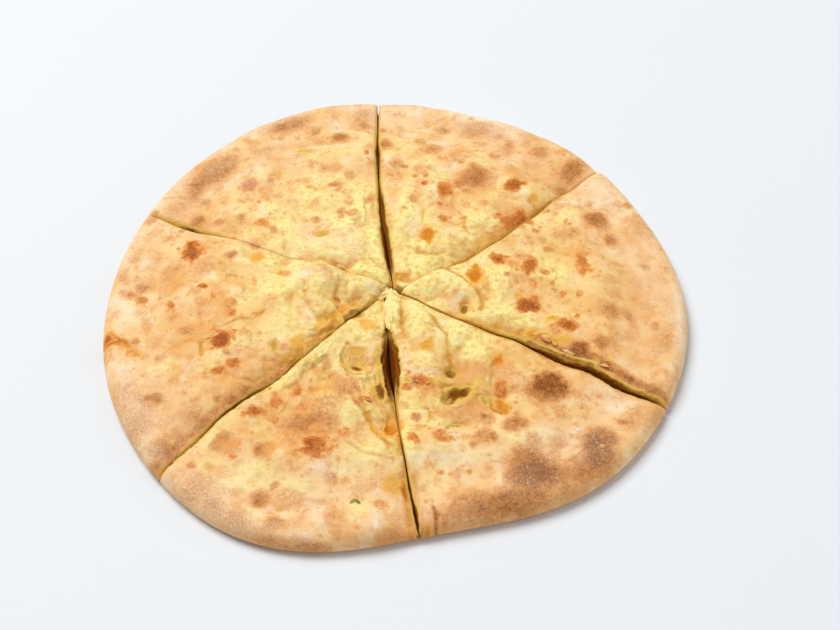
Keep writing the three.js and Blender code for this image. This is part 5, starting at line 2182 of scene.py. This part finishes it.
@dataclass(frozen=True)
class Blob:
    """A flat lump of melted curd: its middle, half sizes, turn, height of its middle and its lumpiness."""

    middle: tuple[float, float]
    half: tuple[float, float, float]
    turn: float
    height: float
    lumpy: float = 0.14
    lump_pitch: float = 0.55

    def shape(self, ball: Array) -> tuple[Array, Array, Array]:
        """Its surface.

        Args:
            ball: Points on the unit ball.

        Returns:
            x, y and z in mm.
        """
        (across, along, up), (x, y) = self.half, self.middle
        swell = Grain(95, self.lump_pitch).at(ball[0] * 1.6 + 9, ball[1] * 1.6 + 0.8 * ball[2] + self.turn)
        lump = 1 + self.lumpy * swell
        dx, dy = turned(ball[0] * across * lump, ball[1] * along * lump, self.turn)
        return x + dx, y + dy, self.height + up * ball[2] * lump


CURD_BLOBS = (
    Blob((-0.8, -9.6), (4.4, 11.2, 2.4), 2, 15.0), Blob((-7.4, 0.4), (6.2, 4.2, 2.2), 16, 13.6),
    Blob((5.4, -3.4), (4.4, 2.8, 1.8), -24, 12.4), Blob((-3.0, -19.0), (1.8, 6.0, 1.6), 6, 14.6),
    Blob((2.6, 1.6), (4.6, 4.0, 1.8), 0, 3.2),
)


@dataclass
class CurdBridge:
    """Melted curd that fills the crossing of the cuts, made as one piece of several lumps.

    It takes the dough's finish, painted rich and thinly floury, so that it runs into the slices' tips.
    """

    blobs: tuple[Blob, ...] = CURD_BLOBS
    segments: int = 64
    rings: int = 40
    rich: float = 0.9
    floury: float = 0.5
    shaded: float = 0.2
    crisp: float = 80.0

    def build(self, material: bpy.types.Material) -> bpy.types.Object:
        """Models the curd.

        Args:
            material: The dough's finish.

        Returns:
            The finished piece.
        """
        bridge = Bench.cluster("curd_bridge", (
            partial(
                bpy.ops.mesh.primitive_uv_sphere_add,
                segments=self.segments, ring_count=self.rings, radius=1, location=(4 * k, 0, 0),
            )
            for k in range(len(self.blobs))
        ))
        ball = Bench.places(bridge).T
        which = np.round(ball[0] / 4).astype(int)
        ball[0] -= 4 * which
        shapes = [blob.shape(ball) for blob in self.blobs]
        Bench.shape(bridge, *(np.choose(which, [shape[axis] for shape in shapes]) for axis in range(3)))
        baked, light = {Tone.RICH: self.rich, Tone.FLOUR: self.floury}, 1 - self.shaded * (1 - ball[2])
        Bench.paint(bridge, {each: light * baked.get(each, 0.0) for each in Tone})
        Bench.finish(bridge, material, "cheese", (), self.crisp)
        return bridge


@dataclass(frozen=True)
class Sifting:
    """A place where grains of flour lie: its middle, how far they stray and how many there are."""

    x: float
    y: float
    across: float
    back: float
    count: int


SIFTINGS = (
    Sifting(-8, -134, 3, 6, 22), Sifting(89.5, -83.5, 2, 2, 12), Sifting(8, -60.5, 1.2, 1, 4),
    Sifting(-124, -62, 5, 12, 20), Sifting(-98, 94, 8, 7, 14), Sifting(102, -92, 9, 9, 18),
    Sifting(67, -106, 11, 8, 16), Sifting(52, -113, 2, 2, 5), Sifting(-60, -132, 14, 4, 12),
    Sifting(-36, 5, 4, 6, 6), Sifting(110, 70, 8, 8, 8),
)


@dataclass
class FlourGrains:
    """Grains and small clumps of flour on the crust, made as one piece."""

    least: float = 0.15
    most: float = 0.42
    flat: float = 0.55
    narrowest: float = 0.6
    raised: float = 0.25
    gathering: float = 1.6
    crisp: float = 30.0
    seed: int = 81

    def adds(self, ground: Ground) -> Iterable[Callable[[], object]]:
        """The moves that each add a grain.

        Args:
            ground: The tops that they lie on.

        Yields:
            One move for each grain.
        """
        random = np.random.default_rng(self.seed)
        for sifting in SIFTINGS:
            strays = (sifting.across / self.gathering, sifting.back / self.gathering)
            for _ in range(sifting.count):
                x, y = random.normal((sifting.x, sifting.y), strays)
                size, turn = random.uniform(self.least, self.most), random.uniform(0, math.tau)
                z = ground.height(x, y) + self.raised * size
                yield partial(
                    bpy.ops.mesh.primitive_ico_sphere_add,
                    subdivisions=1, radius=size * MM, rotation=(0, 0, turn),
                    location=((x + FRAME_SHIFT[0]) * MM, (y + FRAME_SHIFT[1]) * MM, z * MM),
                    scale=(1.0, random.uniform(self.narrowest, 1.0), self.flat),
                )

    def build(self, ground: Ground, material: bpy.types.Material) -> bpy.types.Object:
        """Models the grains.

        Args:
            ground: The tops that they lie on.
            material: Their finish.

        Returns:
            The finished piece.
        """
        grains = Bench.cluster("flour_grains", self.adds(ground))
        Bench.finish(grains, material, "dough", (), self.crisp)
        return grains


# ---------------------------------------------------------------- studio


@dataclass
class Studio:
    """A pale floor, a soft light from the back left, a weak one from the front right, and the camera."""

    floor_size: float = 8.0
    floor_tone: Colour = tone(230, 234, 239)
    floor_light: Colour = tone(234, 237, 241)
    floor_cloud: Cloud = Cloud(400, 2, 0.5)
    floor_roughness: float = 0.8
    camera_distance: float = 0.850
    camera_elevation: float = 50.0
    camera_target: tuple[float, float, float] = (0.01206, -0.00362, 0.0)
    lens: float = 70.3
    sensor: float = 36.0
    key_place: tuple[float, float, float] = (-1.2, 1.0, 2.9)
    key_size: float = 1.9
    key_power: float = 95.0
    fill_place: tuple[float, float, float] = (1.7, -0.5, 0.8)
    fill_power: float = 9.0
    key_tone: tuple[float, float, float] = (0.95, 0.98, 1.0)
    sky: Colour = (1.0, 0.965, 0.92, 1.0)
    sky_strength: float = 0.33

    def build(self) -> None:
        """Makes the floor, the lights and the camera."""
        self.floor()
        self.lights()
        self.camera()

    def floor(self) -> None:
        """Makes the floor."""
        Bench.clear()
        bpy.ops.mesh.primitive_plane_add(size=self.floor_size)
        floor = bpy.context.object
        floor.name = floor.data.name = "floor"
        mixer = Mixer("pale_floor")
        colour = mixer.blend(self.floor_tone, self.floor_light, mixer.noise(self.floor_cloud))
        mixer.give(Base_Color=colour, Roughness=self.floor_roughness)
        floor.data.materials.append(mixer.material)

    def lights(self) -> None:
        """Makes the two soft lights and the pale surroundings."""
        lights = (("soft_light", self.key_place, self.key_power), ("fill_light", self.fill_place, self.fill_power))
        for name, place, power in lights:
            bpy.ops.object.light_add(type="AREA", location=place)
            light = bpy.context.object
            light.name = name
            light.data.size = self.key_size
            light.data.energy = power
            light.data.color = self.key_tone
            x, y, z = place
            light.rotation_euler = (math.atan2(math.hypot(x, y), z), 0, math.atan2(x, -y))
        world = bpy.context.scene.world or bpy.data.worlds.new("surroundings")
        bpy.context.scene.world = world
        world.use_nodes = True
        background = world.node_tree.nodes["Background"]
        background.inputs["Color"].default_value = self.sky
        background.inputs["Strength"].default_value = self.sky_strength

    def camera(self) -> None:
        """Makes the camera."""
        raised = math.radians(self.camera_elevation)
        x, y, z = self.camera_target
        place = (x, y - self.camera_distance * math.cos(raised), z + self.camera_distance * math.sin(raised))
        bpy.ops.object.camera_add(location=place, rotation=(math.pi / 2 - raised, 0, 0))
        camera = bpy.context.object
        camera.name = "camera"
        camera.data.lens = self.lens
        camera.data.sensor_width = self.sensor
        bpy.context.scene.camera = camera
        bpy.context.scene.view_settings.view_transform = "Standard"


def main() -> None:
    """Builds the bread and the studio."""
    logging.basicConfig(level=logging.INFO, format="%(message)s")
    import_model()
    crust, dough, cheese = Crust(), DoughFinish().material(), CheeseFinish().material()
    slices = []
    for form in SLICES:
        slices.append(DoughSlice(form, crust).build(dough))
        CheeseLayer(form).build(cheese)
    ground = Ground(slices)
    CurdBridge().build(dough)
    FlakeBed("crust_flakes", CRUST_FLAKES).build(ground, dough)
    herb = DustFinish("dried_herb", tone(168, 166, 44), tone(98, 112, 26), 1.4)
    FlakeBed("herb_speck", HERB, ragged=0.1).build(ground, herb.material())
    flour = DustFinish("flour", tone(252, 232, 206), tone(244, 214, 176), 0.9)
    FlourGrains().build(ground, flour.material())
    Studio().build()


if __name__ == "__main__":
    main()
